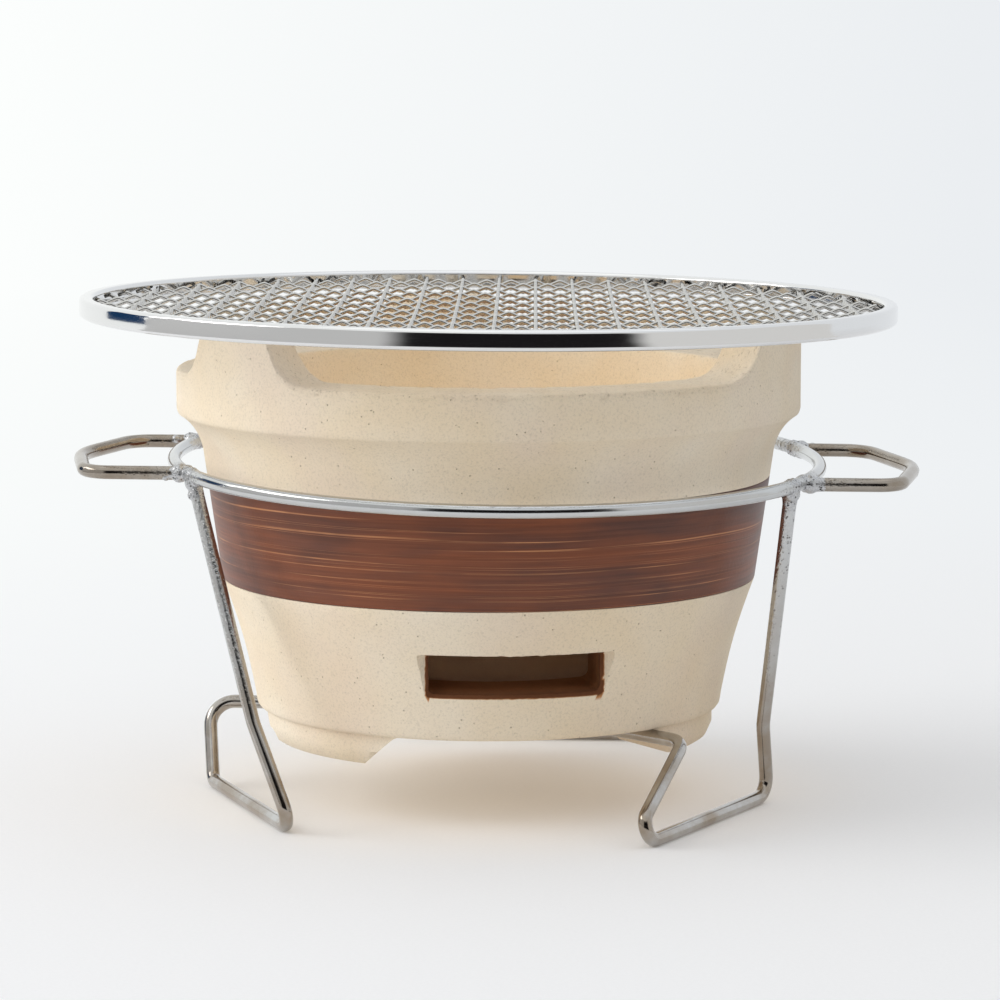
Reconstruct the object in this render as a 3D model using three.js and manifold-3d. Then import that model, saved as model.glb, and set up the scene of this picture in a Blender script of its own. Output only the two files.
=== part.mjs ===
// A table-top charcoal stove. A turned bowl of diatomite stands in a carrier of bent and welded wire,
// a round woven grill net rests on the bowl's three lugs, and a pierced fire plate lies inside it.
// Millimetres, +Z up. The origin is on the table under the middle of the carrier's ring.
// -Y is the front, where the air vent opens, and +X is the right hand of someone who faces it.
// An angle round the stove is in degrees from the front towards the right.

import * as THREE from 'three';
import { ConvexGeometry } from 'three/addons/geometries/ConvexGeometry.js';
import { mergeVertices } from 'three/addons/utils/BufferGeometryUtils.js';
import Module from 'manifold-3d';

// ---- driving dimensions ----

const clearance = 0.3;      // between pieces that touch
const degree = Math.PI / 180;

const carrier = {
  wire: 4,                  // diameter of every wire
  ringDiameter: 194.4,      // over the outside of the ring
  ringHeight: 98.8,         // centre line above the table
  leanForward: 2.1,         // the ring's front hangs lower by this angle
  leanRight: 0.7,           // and its right side by this one
  shelfHeight: 24.2,        // centre line of the bars that carry the bowl
  barEnd: 3.2,              // distance from the middle to the end of each bar
  bends: { knee: 20, heel: 5, toe: 4, shelf: 7 },   // centre line radii of the legs' bends
  weldRadius: 5,
  weldDepth: 1.8,
};

// A handle's end bulges outwards between its two corners. Lengths along a handle are from front to
// back, and the corners stop short of its reach.
const handle = {
  reach: 122.2,             // from the carrier's middle to the centre line of a handle's end
  bends: { front: 8, bulge: 30, back: 10 },
  bulgeRounding: 1.3,       // what the bulge's bend takes off its corner
};

const handles = [
  {
    name: 'handle_left', side: -1, lift: 0,
    front: -33.5, frontShort: 3.6, bulge: 0, back: 29.5, backShort: 12.2,
  },
  {
    name: 'handle_right', side: 1, lift: -0.5,
    front: -37.2, frontShort: 6.7, bulge: -4, back: 30.5, backShort: 10.4,
  },
];

// Each leg drops from the ring past a slight knee to its heel, runs along the table to its toe, rises
// to the shelf height and goes in to the middle. The three were bent by hand and differ a little.
// The places are those of the corners before rounding: radius, angle and, at the knee, height.
const legs = [
  {
    name: 'leg_left', ring: -66.6, knee: [91.7, -49, 30.9],
    heel: [91.1, -39.4], toe: [84.9, -91.2], shelf: [87.6, -98.5],
  },
  {
    name: 'leg_right', ring: 61.7, knee: [81.8, 71.5, 23.9],
    heel: [81.9, 75.9], toe: [104.8, 19.9], shelf: [76.4, 43.9],
  },
  {
    name: 'leg_rear', ring: 177.5, knee: [86.8, 191.2, 27.4],
    heel: [86.5, 198], toe: [94.9, 144.4], shelf: [82, 152.7],
  },
];

// Heights of the bowl are from its underside, which rests on the bars.
const bowl = {
  offCentre: -2.5,          // the bowl stands this far to the left of the carrier's middle
  footRadius: 65.4,         // outside of the feet
  footRounding: 4.5,        // of a foot's lower edge
  footHeight: 9.1,          // feet below the underside
  footInner: 38,            // inside of the ring that the feet are cut from
  bottomRadius: 66,         // underside
  bottomChamfer: 3,
  bellyRadius: 78.8,        // lower edge of the band
  bellyHeight: 38.4,
  bellyHollow: 1.9,         // how far the lower wall curves in from a straight line
  neckRadius: 84.2,         // under the collar
  neckHeight: 76.3,
  collarRadius: 91.9,
  collarBottom: 87.4,
  lugHeight: 114.8,         // top of the lugs
  lugChamfer: 1.2,
  mouthRadius: 74.5,        // inside, at the lug tops
  floorHeight: 12,          // floor of the ash chamber
  ashRadius: 47,
  ledgeHeight: 34,          // ledge that the fire plate rests on
  ledgeRadius: 55.5,        // wall round the fire plate
};

// Three notches between the lugs let the heat out, and three arches between the feet let the bars in.
const notch = {
  places: [{ angle: 7.6, less: 0 }, { angle: 132, less: 4.3 }, { angle: 248.5, less: 2.6 }],
  floor: 100.3,             // above the underside
  topHalf: 71,              // half width at the lug tops, where it crosses the outer wall
  floorHalf: 64.5,
  corner: 10,
  distance: 58.9,           // from the bowl's axis to where the half widths are measured
  flare: 0.35,              // widening outwards
  skew: 0.13,               // leaning of the cut to the left, outwards
};

const arch = {
  places: [{ angle: 11, less: 0 }, { angle: 131, less: 0 }, { angle: 248, less: 3 }],
  topHalf: 36.5,            // half width at the underside
  bottomHalf: 45,           // half width at the foot bottoms
  corner: 2,
  distance: 45,
  flare: 0.3,
  skew: 0,
};

const vent = {
  angle: 6.4,
  width: 48.7,
  height: 11.1,
  sill: 13.5,               // above the bowl's underside
  bevel: 2,                 // widening of the mouth at its sides and its sill
  bevelAbove: 0.4,          // the same along the top
  bevelDepth: 3,
};

const band = {
  width: 29.9,
  thickness: 0.7,
};

const firePlate = {
  play: 1.5,                // between its edge and the wall round it
  thickness: 7,
  hole: 9,
  rows: [1, 6, 12],         // holes in the middle and in each circle
  rowStep: 19,              // from one circle of holes to the next
};

const net = {
  diameter: 240,
  rimHeight: 5.8,
  rimDepth: 4.2,            // radially
  rimSheet: 0.6,
  rimCorner: 1.3,
  wire: 1.1,
  pitch: 11.65,
  shift: 2.2,               // of the front-to-back wires, to the right
  turn: 0.65,               // of the whole weave, towards the right at the back
  sag: 1.5,                 // of the weave's middle
  leanRight: 0.55,
};

const facets = { round: 60, wire: 8, netWire: 4, bend: 22 * degree };

// ---- places that follow from them ----

const ringRadius = (carrier.ringDiameter - carrier.wire) / 2;
const wireReach = carrier.wire / 2 / Math.cos(Math.PI / facets.wire);   // to a wire's faceted corners
const underside = carrier.shelfHeight + wireReach + clearance;
const lugTop = underside + bowl.lugHeight;
// A net wire's centre line lies this far off the weave's middle where it crosses another. The slopes
// of the two wires take a little of their gap.
const weaveRise = (net.wire + clearance) / 2 / (1 - net.wire / net.pitch);
const weaveHalf = weaveRise + net.wire / 2;
const weaveRadius = net.diameter / 2 - net.rimSheet - clearance;
const sagAt = (radius) => net.sag * (1 - (radius / weaveRadius) ** 2);
const weaveHeight = lugTop + clearance + weaveHalf + sagAt(bowl.mouthRadius);

// ---- general tools ----

const wasm = await Module();
wasm.setup();

const colours = {
  diatomite: { color: 0xe9dcc3, roughness: 0.95, metalness: 0 },
  woodgrain: { color: 0x5c2c18, roughness: 0.5, metalness: 0 },
  firedClay: { color: 0xb48b72, roughness: 0.9, metalness: 0 },
  plated: { color: 0xb4b3b0, roughness: 0.3, metalness: 1 },
  polished: { color: 0xd9dadd, roughness: 0.12, metalness: 1 },
  stainless: { color: 0xc9c8c6, roughness: 0.25, metalness: 1 },
};
const materials = Object.fromEntries(
  Object.entries(colours).map(([name, look]) => [name, new THREE.MeshStandardMaterial(look)]),
);

function named(name, geometry, material) {
  const mesh = new THREE.Mesh(geometry, materials[material]);
  mesh.name = name;
  return mesh;
}

function onlyPositions(geometry) {
  const bare = geometry.clone();
  bare.deleteAttribute('normal');
  bare.deleteAttribute('uv');
  return mergeVertices(bare, 1e-5);
}

function toSolid(geometry) {
  const closed = onlyPositions(geometry);
  return new wasm.Manifold(new wasm.Mesh({
    numProp: 3,
    vertProperties: new Float32Array(closed.attributes.position.array),
    triVerts: new Uint32Array(closed.index.array),
  }));
}

function toGeometry(solid) {
  const { vertProperties, triVerts } = solid.getMesh();
  const geometry = new THREE.BufferGeometry();
  geometry.setAttribute('position', new THREE.BufferAttribute(vertProperties, 3));
  geometry.setIndex(new THREE.BufferAttribute(triVerts, 1));
  geometry.computeVertexNormals();
  return geometry;
}

// A profile of [radius, height] pairs, turned round the Z axis.
function turned(profile, segments = facets.round) {
  const lathe = new THREE.LatheGeometry(profile.map(([r, z]) => new THREE.Vector2(r, z)), segments);
  return lathe.rotateX(Math.PI / 2);
}

// A place at an angle round the stove.
function polar(radius, angle, height) {
  return new THREE.Vector3(radius * Math.sin(angle * degree), -radius * Math.cos(angle * degree), height);
}

// A curve through points that keeps its steps on the points, with mitred corners.
class WirePath extends THREE.Curve {
  constructor(points) {
    super();
    this.points = points;
  }

  getPoint(t, target = new THREE.Vector3()) {
    const last = this.points.length - 1;
    const index = Math.min(Math.floor(t * last), last - 1);
    return target.lerpVectors(this.points[index], this.points[index + 1], t * last - index);
  }

  getPointAt(u, target) {
    return this.getPoint(u, target);
  }

  getTangentAt(u, target = new THREE.Vector3()) {
    const last = this.points.length - 1;
    const index = Math.round(u * last);
    const next = this.points[Math.min(index + 1, last)];
    return target.subVectors(next, this.points[Math.max(index - 1, 0)]).normalize();
  }
}

// Points along straight runs between corners, with an arc of the given radius at each inner corner.
function bentPath(corners, bends) {
  const points = [corners[0]];
  for (let i = 1; i < corners.length - 1; i += 1) {
    const back = corners[i - 1].clone().sub(corners[i]).normalize();
    const ahead = corners[i + 1].clone().sub(corners[i]).normalize();
    const opening = back.angleTo(ahead);
    const bend = Array.isArray(bends) ? bends[i - 1] : bends;
    const swing = Math.PI - opening;
    const centre = back.clone().add(ahead).setLength(bend / Math.sin(opening / 2)).add(corners[i]);
    const start = back.clone().multiplyScalar(bend / Math.tan(opening / 2)).add(corners[i]).sub(centre);
    const axis = ahead.clone().cross(back).normalize().negate();
    const steps = Math.max(1, Math.ceil(swing / facets.bend));
    for (let step = 0; step <= steps; step += 1) {
      points.push(start.clone().applyAxisAngle(axis, -swing * (step / steps)).add(centre));
    }
  }
  points.push(corners[corners.length - 1]);
  return points;
}

// A round wire along points, its flats as far apart as its diameter. One flat faces down at point flatAt.
function wireAlong(points, diameter, sides, flatAt = 0) {
  const path = new WirePath(points);
  const steps = points.length - 1;
  const { normals, binormals } = path.computeFrenetFrames(steps, false);
  const turn = Math.atan2(-binormals[flatAt].z, -normals[flatAt].z);
  const radius = diameter / 2 / Math.cos(Math.PI / sides);
  const corner = (k) => turn + (2 * Math.PI * (k + 0.5)) / sides;
  const section = Array.from({ length: sides }, (_, k) => new THREE.Vector2(
    radius * Math.cos(corner(k)),
    radius * Math.sin(corner(k)),
  ));
  return new THREE.ExtrudeGeometry(new THREE.Shape(section), { steps, extrudePath: path });
}

// ---- the bowl ----

// Outer radius of the bowl's wall at a height between the chamfer and the neck.
function wallRadius(height) {
  const { bottomRadius, bottomChamfer, bellyRadius, bellyHeight, bellyHollow, neckRadius, neckHeight } = bowl;
  if (height > bellyHeight) {
    const share = (height - bellyHeight) / (neckHeight - bellyHeight);
    return bellyRadius + share * (neckRadius - bellyRadius);
  }
  const start = bottomRadius + bottomChamfer;
  const share = (height - bottomChamfer) / (bellyHeight - bottomChamfer);
  return start + share * (bellyRadius - start) - bellyHollow * Math.sin(share * Math.PI) / 2;
}

// A tapered slot with rounded corners, cut straight through the wall. Its half widths are true at the
// given distance from the axis, and it widens outwards.
function slotCutter({ narrowHalf, wideHalf, narrowHeight, wideHeight, angle, ...cut }) {
  const { corner, distance, flare, skew } = cut;
  const inward = Math.sign(wideHeight - narrowHeight);
  const slope = new THREE.Vector2(wideHalf - narrowHalf, wideHeight - narrowHeight).normalize();
  const near = new THREE.Vector2(narrowHalf - corner, narrowHeight);
  const side = new THREE.Vector2(narrowHalf, narrowHeight).addScaledVector(slope, corner);
  const shape = new THREE.Shape();
  shape.moveTo(-wideHalf, wideHeight);
  shape.lineTo(-side.x, side.y);
  shape.quadraticCurveTo(-narrowHalf, narrowHeight, -near.x, near.y);
  shape.lineTo(near.x, near.y);
  shape.quadraticCurveTo(narrowHalf, narrowHeight, side.x, side.y);
  shape.lineTo(wideHalf, wideHeight);
  const outline = inward > 0 ? shape : new THREE.Shape(shape.getPoints(5).reverse());
  const depth = bowl.collarRadius + corner;
  const geometry = new THREE.ExtrudeGeometry(outline, { depth, bevelEnabled: false, curveSegments: 5 });
  const position = geometry.attributes.position;
  for (let i = 0; i < position.count; i += 1) {
    const beyond = position.getZ(i) - distance;
    position.setX(i, position.getX(i) * (1 + (flare * beyond) / narrowHalf) - skew * beyond);
  }
  return toSolid(geometry.rotateX(Math.PI / 2).rotateZ(angle * degree));
}

function notchCutter({ angle, less }) {
  const above = bowl.lugHeight + 5;
  const slope = (notch.topHalf - notch.floorHalf) / (bowl.lugHeight - notch.floor);
  const narrowHalf = notch.floorHalf - less;
  return slotCutter({
    ...notch,
    narrowHalf,
    wideHalf: narrowHalf + slope * (above - notch.floor),
    narrowHeight: notch.floor,
    wideHeight: above,
    angle,
  });
}

function archCutter({ angle, less }) {
  const below = -bowl.footHeight - 2;
  const slope = (arch.bottomHalf - arch.topHalf) / bowl.footHeight;
  const narrowHalf = arch.topHalf - less;
  return slotCutter({
    ...arch,
    narrowHalf,
    wideHalf: narrowHalf - slope * below,
    narrowHeight: 0,
    wideHeight: below,
    angle,
  });
}

// A straight tunnel from the ash chamber, with a mouth that widens towards the outside.
function ventCutter() {
  const mouth = wallRadius(vent.sill + vent.height / 2);
  const rectangle = (share, y) => [-1, 1].flatMap((x) => [
    vent.sill - share * vent.bevel,
    vent.sill + vent.height + share * vent.bevelAbove,
  ].map((z) => new THREE.Vector3(x * (vent.width / 2 + share * vent.bevel), y, z)));
  const beyond = 6;
  const tunnel = new ConvexGeometry([...rectangle(0, -mouth), ...rectangle(0, -bowl.ashRadius / 2)]);
  const bevel = new ConvexGeometry([
    ...rectangle(0, -mouth + vent.bevelDepth),
    ...rectangle(1 + beyond / vent.bevelDepth, -mouth - beyond),
  ]);
  return toSolid(tunnel).add(toSolid(bevel)).rotate([0, 0, vent.angle]);
}

function bowlProfile() {
  const grooveDepth = band.thickness + clearance;
  const grooveTop = bowl.bellyHeight + band.width + clearance;
  const grooveBottom = bowl.bellyHeight - clearance;
  const lowerSteps = 4;
  const lowerWall = Array.from({ length: lowerSteps }, (_, i) => {
    const height = bowl.bottomChamfer + (i / lowerSteps) * (grooveBottom - bowl.bottomChamfer);
    return [wallRadius(height), height];
  });
  const cove = new THREE.QuadraticBezierCurve(
    new THREE.Vector2(bowl.neckRadius, bowl.neckHeight),
    new THREE.Vector2(bowl.neckRadius + 1.6, bowl.collarBottom - 3.6),
    new THREE.Vector2(bowl.collarRadius, bowl.collarBottom),
  ).getPoints(4).map(({ x, y }) => [x, y]);
  const above = bowl.lugHeight + 4;
  const rounding = bowl.footRounding;
  const mouthSlope = (bowl.mouthRadius - bowl.ledgeRadius) / (bowl.lugHeight - bowl.ledgeHeight);
  return [
    [0, 0],
    [bowl.footInner, 0],
    [bowl.footInner, -bowl.footHeight],
    [bowl.footRadius - rounding, -bowl.footHeight],
    [bowl.footRadius - 0.3 * rounding, 0.3 * rounding - bowl.footHeight],
    [bowl.footRadius, rounding - bowl.footHeight],
    [bowl.footRadius, 0],
    [bowl.bottomRadius, 0],
    ...lowerWall,
    [wallRadius(grooveBottom), grooveBottom],
    [wallRadius(grooveBottom) - grooveDepth, grooveBottom],
    [wallRadius(grooveTop) - grooveDepth, grooveTop],
    [wallRadius(grooveTop), grooveTop],
    ...cove,
    [bowl.collarRadius, above],
    [bowl.ledgeRadius + mouthSlope * (above - bowl.ledgeHeight), above],
    [bowl.ledgeRadius, bowl.ledgeHeight],
    [bowl.ashRadius, bowl.ledgeHeight],
    [bowl.ashRadius, bowl.floorHeight],
    [0, bowl.floorHeight],
  ];
}

// Everything below the plane of the lug tops, which leans as the net does, with the lugs' outer
// edges broken.
function crownLimit() {
  const edge = bowl.collarRadius - bowl.lugChamfer;
  const far = 2 * bowl.collarRadius;
  const below = -2 * bowl.lugHeight;
  const limit = toSolid(turned([[0, below], [far, below], [far, edge - far], [edge, 0], [0, 0]]));
  return limit.rotate([0, net.leanRight, 0]).translate([0, 0, bowl.lugHeight]);
}

function makeBowl() {
  let body = toSolid(turned(bowlProfile())).intersect(crownLimit());
  const cutters = [...notch.places.map(notchCutter), ...arch.places.map(archCutter), ventCutter()];
  for (const cutter of cutters) body = body.subtract(cutter);
  return named('bowl', toGeometry(body), 'diatomite');
}

function makeBand() {
  const bottom = bowl.bellyHeight;
  const top = bowl.bellyHeight + band.width;
  return named('woodgrain_band', turned([
    [wallRadius(bottom) - band.thickness, bottom],
    [wallRadius(bottom), bottom],
    [wallRadius(top), top],
    [wallRadius(top) - band.thickness, top],
    [wallRadius(bottom) - band.thickness, bottom],
  ]), 'woodgrain');
}

function makeFirePlate() {
  const outline = new THREE.Shape().absarc(0, 0, bowl.ledgeRadius - firePlate.play, 0, 2 * Math.PI, false);
  firePlate.rows.forEach((count, row) => {
    for (let i = 0; i < count; i += 1) {
      const angle = (2 * Math.PI * i) / count;
      const distance = row * firePlate.rowStep;
      const hole = new THREE.Path();
      hole.absarc(distance * Math.cos(angle), distance * Math.sin(angle), firePlate.hole / 2, 0, 2 * Math.PI, true);
      outline.holes.push(hole);
    }
  });
  const plate = new THREE.ExtrudeGeometry(outline, {
    depth: firePlate.thickness,
    bevelEnabled: false,
    curveSegments: 5,
  });
  return named('fire_plate', plate.translate(0, 0, bowl.ledgeHeight + clearance), 'firedClay');
}

// ---- the wire carrier ----

const ringFrame = new THREE.Matrix4().makeRotationFromEuler(
  new THREE.Euler(carrier.leanForward * degree, carrier.leanRight * degree, 0),
).setPosition(0, 0, carrier.ringHeight);

function makeRing() {
  const ring = new THREE.TorusGeometry(ringRadius, carrier.wire / 2, facets.wire, facets.round);
  return named('carrier_ring', ring.applyMatrix4(ringFrame), 'plated');
}

// Cuts the end of a wire to the ring's shape, so that it stands clear of it all round.
function coped(wire) {
  const reach = carrier.wire / 2 + clearance;
  const tool = new THREE.TorusGeometry(ringRadius, reach / Math.cos(Math.PI / 12), 12, facets.round);
  return toGeometry(toSolid(wire).subtract(toSolid(tool.applyMatrix4(ringFrame))));
}

function makeHandle({ name, side, lift, front, frontShort, bulge, back, backShort }) {
  const root = (across) => Math.sqrt(ringRadius ** 2 - across ** 2);
  const corners = [
    [root(front), front],
    [handle.reach - frontShort, front],
    [handle.reach + handle.bulgeRounding, bulge],
    [handle.reach - backShort, back],
    [root(back), back],
  ].map(([out, along]) => new THREE.Vector3(side * out, along, lift));
  const wire = wireAlong(bentPath(corners, Object.values(handle.bends)), carrier.wire, facets.wire);
  return named(name, coped(wire.applyMatrix4(ringFrame)), 'plated');
}

function makeLeg({ name, ring, knee, heel, toe, shelf }) {
  const half = carrier.wire / 2;
  const corners = [
    polar(ringRadius, ring, 0).applyMatrix4(ringFrame),
    polar(...knee),
    polar(...heel, half),
    polar(...toe, half),
    polar(...shelf, carrier.shelfHeight),
    polar(carrier.barEnd, shelf[1], carrier.shelfHeight),
  ];
  const points = bentPath(corners, Object.values(carrier.bends));
  const onTable = points.findIndex((point) => Math.abs(point.z - half) < 1e-6);
  return named(name, coped(wireAlong(points, carrier.wire, facets.wire, onTable)), 'plated');
}

// A drop of weld under the meeting ends of the three bars.
function makeBarWeld() {
  const top = carrier.shelfHeight - wireReach - clearance;
  const steps = 4;
  const drop = Array.from({ length: steps + 1 }, (_, i) => {
    const angle = (i / steps) * 90 * degree;
    return [carrier.weldRadius * Math.sin(angle), top - carrier.weldDepth * Math.cos(angle)];
  });
  drop[0][0] = 0;
  return named('bar_weld', turned([...drop, [0, top]], 16), 'plated');
}

// ---- the grill net ----

function makeNetRim() {
  const outer = net.diameter / 2;
  const inner = outer - net.rimDepth;
  const { rimSheet: sheet, rimCorner: corner, rimHeight: height } = net;
  const lip = weaveHalf + clearance;
  const outside = [
    [inner, lip],
    [inner, height / 2 - corner],
    [inner + corner, height / 2],
    [outer - corner, height / 2],
    [outer, height / 2 - corner],
  ];
  const inside = [
    [outer - sheet, height / 2 - corner],
    [outer - corner, height / 2 - sheet],
    [inner + corner, height / 2 - sheet],
    [inner + sheet, lip],
  ];
  const below = (points) => points.map(([r, z]) => [r, -z]).reverse();
  const section = [...outside, ...below(outside), ...below(inside), ...inside, outside[0]];
  return named('net_rim', turned(section.reverse()), 'polished');
}

// Offsets of one set of parallel wires, from one side of the rim to the other.
function wireOffsets(shift) {
  const reach = net.diameter / 2 - net.rimDepth - 2 * net.wire;
  const first = Math.ceil((-reach - shift) / net.pitch);
  const last = Math.floor((reach - shift) / net.pitch);
  return Array.from({ length: last - first + 1 }, (_, i) => {
    const row = first + i;
    return { row, offset: shift + row * net.pitch };
  });
}

// One net wire. It passes over and under the wires that cross it in turn, and it ends in the rim.
function makeNetWire(name, { row, offset }, crossShift, over, place) {
  const half = Math.sqrt((weaveRadius - 0.2) ** 2 - (Math.abs(offset) + net.wire) ** 2);
  const wave = (along) => {
    const cell = (along - crossShift) / net.pitch;
    const low = Math.floor(cell);
    const parity = (index) => ((index + row) % 2 === 0 ? 1 : -1);
    return over * weaveRise * (parity(low) * (1 - (cell - low)) + parity(low + 1) * (cell - low));
  };
  const first = Math.ceil((-half - crossShift) / net.pitch);
  const last = Math.floor((half - crossShift) / net.pitch);
  const crossing = (index) => crossShift + index * net.pitch;
  const crossings = Array.from({ length: last - first + 1 }, (_, i) => crossing(first + i));
  const end = (side, nearest) => {
    const level = Math.abs(side * half - nearest) < 2 * net.wire ? nearest : side * half;
    return { along: side * half, height: wave(level) };
  };
  const stops = [
    end(-1, crossing(first)),
    ...crossings.filter((along) => half - Math.abs(along) > net.wire / 4)
      .map((along) => ({ along, height: wave(along) })),
    end(1, crossing(last)),
  ];
  const points = stops.map(({ along, height }) => place(
    along,
    offset,
    height - sagAt(Math.hypot(along, offset)),
  ));
  return named(name, wireAlong(points, net.wire, facets.netWire), 'stainless');
}

function makeNet() {
  const weave = new THREE.Group();
  const number = (i) => String(i + 1).padStart(2, '0');
  wireOffsets(0).forEach((wire, i) => {
    const place = (along, offset, z) => new THREE.Vector3(along, offset, z);
    weave.add(makeNetWire(`net_wire_across_${number(i)}`, wire, net.shift, 1, place));
  });
  wireOffsets(net.shift).forEach((wire, i) => {
    const place = (along, offset, z) => new THREE.Vector3(offset, along, z);
    weave.add(makeNetWire(`net_wire_deep_${number(i)}`, wire, 0, -1, place));
  });
  weave.rotation.z = -net.turn * degree;
  const whole = new THREE.Group();
  whole.add(makeNetRim(), weave);
  whole.rotation.y = net.leanRight * degree;
  whole.position.set(bowl.offCentre, 0, weaveHeight);
  return whole;
}

// ---- the whole stove ----

const group = new THREE.Group();
const bowlGroup = new THREE.Group();
bowlGroup.add(makeBowl(), makeBand(), makeFirePlate());
bowlGroup.position.set(bowl.offCentre, 0, underside);
group.add(bowlGroup, makeRing(), ...handles.map(makeHandle), ...legs.map(makeLeg), makeBarWeld(), makeNet());

export default group;
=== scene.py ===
"""A table-top charcoal stove: diatomite bowl, woven grill net and bent wire carrier.

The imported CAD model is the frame. Sizes are in millimetres and turn to metres where a mesh is
made. +Z is up, -Y is the front with the air vent, and the origin is on the table under the middle
of the carrier's ring. An angle round the stove is in degrees from the front towards the right.
"""

import logging
import math
from dataclasses import dataclass, field
from enum import Enum
from typing import Callable, Iterable, Optional, Sequence

import bpy
import bmesh
import numpy as np
from mathutils import Matrix, Vector, noise


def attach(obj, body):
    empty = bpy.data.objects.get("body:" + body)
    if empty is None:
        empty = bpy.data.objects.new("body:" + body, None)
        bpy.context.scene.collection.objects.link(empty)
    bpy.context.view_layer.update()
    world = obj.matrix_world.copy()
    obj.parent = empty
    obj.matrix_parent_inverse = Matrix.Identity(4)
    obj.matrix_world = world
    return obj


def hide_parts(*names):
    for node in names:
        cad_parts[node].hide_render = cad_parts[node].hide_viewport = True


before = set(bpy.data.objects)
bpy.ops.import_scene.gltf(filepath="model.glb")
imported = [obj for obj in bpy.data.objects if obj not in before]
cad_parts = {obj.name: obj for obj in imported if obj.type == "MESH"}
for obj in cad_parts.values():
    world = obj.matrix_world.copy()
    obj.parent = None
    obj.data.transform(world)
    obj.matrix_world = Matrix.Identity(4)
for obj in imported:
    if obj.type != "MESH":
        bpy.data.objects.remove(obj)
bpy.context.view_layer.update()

log = logging.getLogger("stove")

MM = 0.001
Colour = tuple[float, float, float]
Profile = Sequence[tuple[float, float]]


class Body(Enum):
    """The bodies that pieces ride on."""

    CARRIER = "carrier"
    BOWL = "bowl"
    FIRE_PLATE = "fire_plate"
    NET = "net"


class Slot(Enum):
    """The material slots of the part's record."""

    DIATOMITE = "diatomite"
    WOODGRAIN = "woodgrain_film"
    FIRED_CLAY = "fired_clay"
    POLISHED = "polished_rim"
    NET_WIRE = "net_wire"
    CARRIER_WIRE = "carrier_wire"


class Across(Enum):
    """Which way a set of net wires runs."""

    LEFT_TO_RIGHT = "across"
    FRONT_TO_BACK = "deep"


def linear(red: int, green: int, blue: int) -> Colour:
    """A linear colour from display values between 0 and 255.

    Args:
        red: Red value.
        green: Green value.
        blue: Blue value.

    Returns:
        The three linear parts.
    """

    def one(value: int) -> float:
        """One part of the colour, by the display's curve."""
        share = value / 255
        return share / 12.92 if share <= 0.04045 else ((share + 0.055) / 1.055) ** 2.4

    return one(red), one(green), one(blue)


def smooth_step(value: np.ndarray, low: float, high: float) -> np.ndarray:
    """A smooth rise from 0 at low to 1 at high.

    Args:
        value: Values to map.
        low: Where the rise starts.
        high: Where it ends.

    Returns:
        The mapped values.
    """
    share = np.clip((value - low) / (high - low), 0.0, 1.0)
    return share * share * (3 - 2 * share)


def place_round(radius: float, angle: float, height: float) -> Vector:
    """A place at an angle round the stove, in the unit of the radius and the height.

    Args:
        radius: Distance from the axis.
        angle: Degrees from the front towards the right.
        height: Height above the table.

    Returns:
        The place.
    """
    turn = math.radians(angle)
    return Vector((radius * math.sin(turn), -radius * math.cos(turn), height))


# ---- meshes ----


def make_object(
    name: str,
    points: Iterable[Sequence[float]],
    faces: Iterable[Sequence[int]],
    material: bpy.types.Material,
    sharp_from: float = 40.0,
) -> bpy.types.Object:
    """A mesh object from points in millimetres, with its loose ends cleaned.

    Args:
        name: Name of the object.
        points: Corners of the mesh.
        faces: Corner numbers of each face.
        material: What it is made of.
        sharp_from: Degrees from which an edge stays sharp.

    Returns:
        The linked object.
    """
    mesh = bpy.data.meshes.new(name)
    mesh.from_pydata([[c * MM for c in p] for p in points], [], [list(f) for f in faces])
    return finish_mesh(name, mesh, material, sharp_from)


def finish_mesh(
    name: str,
    mesh: bpy.types.Mesh,
    material: bpy.types.Material,
    sharp_from: float = 40.0,
) -> bpy.types.Object:
    """Merges doubles, turns the faces outwards and shades a mesh.

    Args:
        name: Name of the object.
        mesh: The mesh, in metres.
        material: What it is made of.
        sharp_from: Degrees from which an edge stays sharp.

    Returns:
        The linked object.
    """
    work = bmesh.new()
    work.from_mesh(mesh)
    bmesh.ops.remove_doubles(work, verts=work.verts, dist=2e-7)
    bmesh.ops.recalc_face_normals(work, faces=work.faces)
    work.to_mesh(mesh)
    work.free()
    mesh.shade_smooth()
    mesh.set_sharp_from_angle(angle=math.radians(sharp_from))
    mesh.materials.clear()
    mesh.materials.append(material)
    made = bpy.data.objects.new(name, mesh)
    bpy.context.scene.collection.objects.link(made)
    return made


def plain_mesh(source: bpy.types.Object, name: str) -> bpy.types.Mesh:
    """The shape of an object after its modifiers, as a mesh of its own. The object goes.

    Args:
        source: Object with live modifiers.
        name: Name of the new mesh.

    Returns:
        The new mesh.
    """
    bpy.context.view_layer.update()
    shaped = source.evaluated_get(bpy.context.evaluated_depsgraph_get())
    mesh = bpy.data.meshes.new_from_object(shaped)
    mesh.name = name
    source.modifiers.clear()
    bpy.data.objects.remove(source)
    return mesh


def lathe(
    profile: Profile, segments: int, off_centre: float = 0.0
) -> tuple[list[Vector], list[list[int]]]:
    """Turns a closed profile of [radius, height] pairs round a vertical axis.

    Args:
        profile: Corners of the closed outline.
        segments: Steps round the axis.
        off_centre: Where the axis stands, along X.

    Returns:
        Points and faces.
    """
    count = len(profile)
    points = []
    for step in range(segments):
        turn = 2 * math.pi * step / segments
        for radius, height in profile:
            out = off_centre + radius * math.sin(turn)
            points.append(Vector((out, -radius * math.cos(turn), height)))
    return points, grid(segments, count, closed=True)


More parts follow.
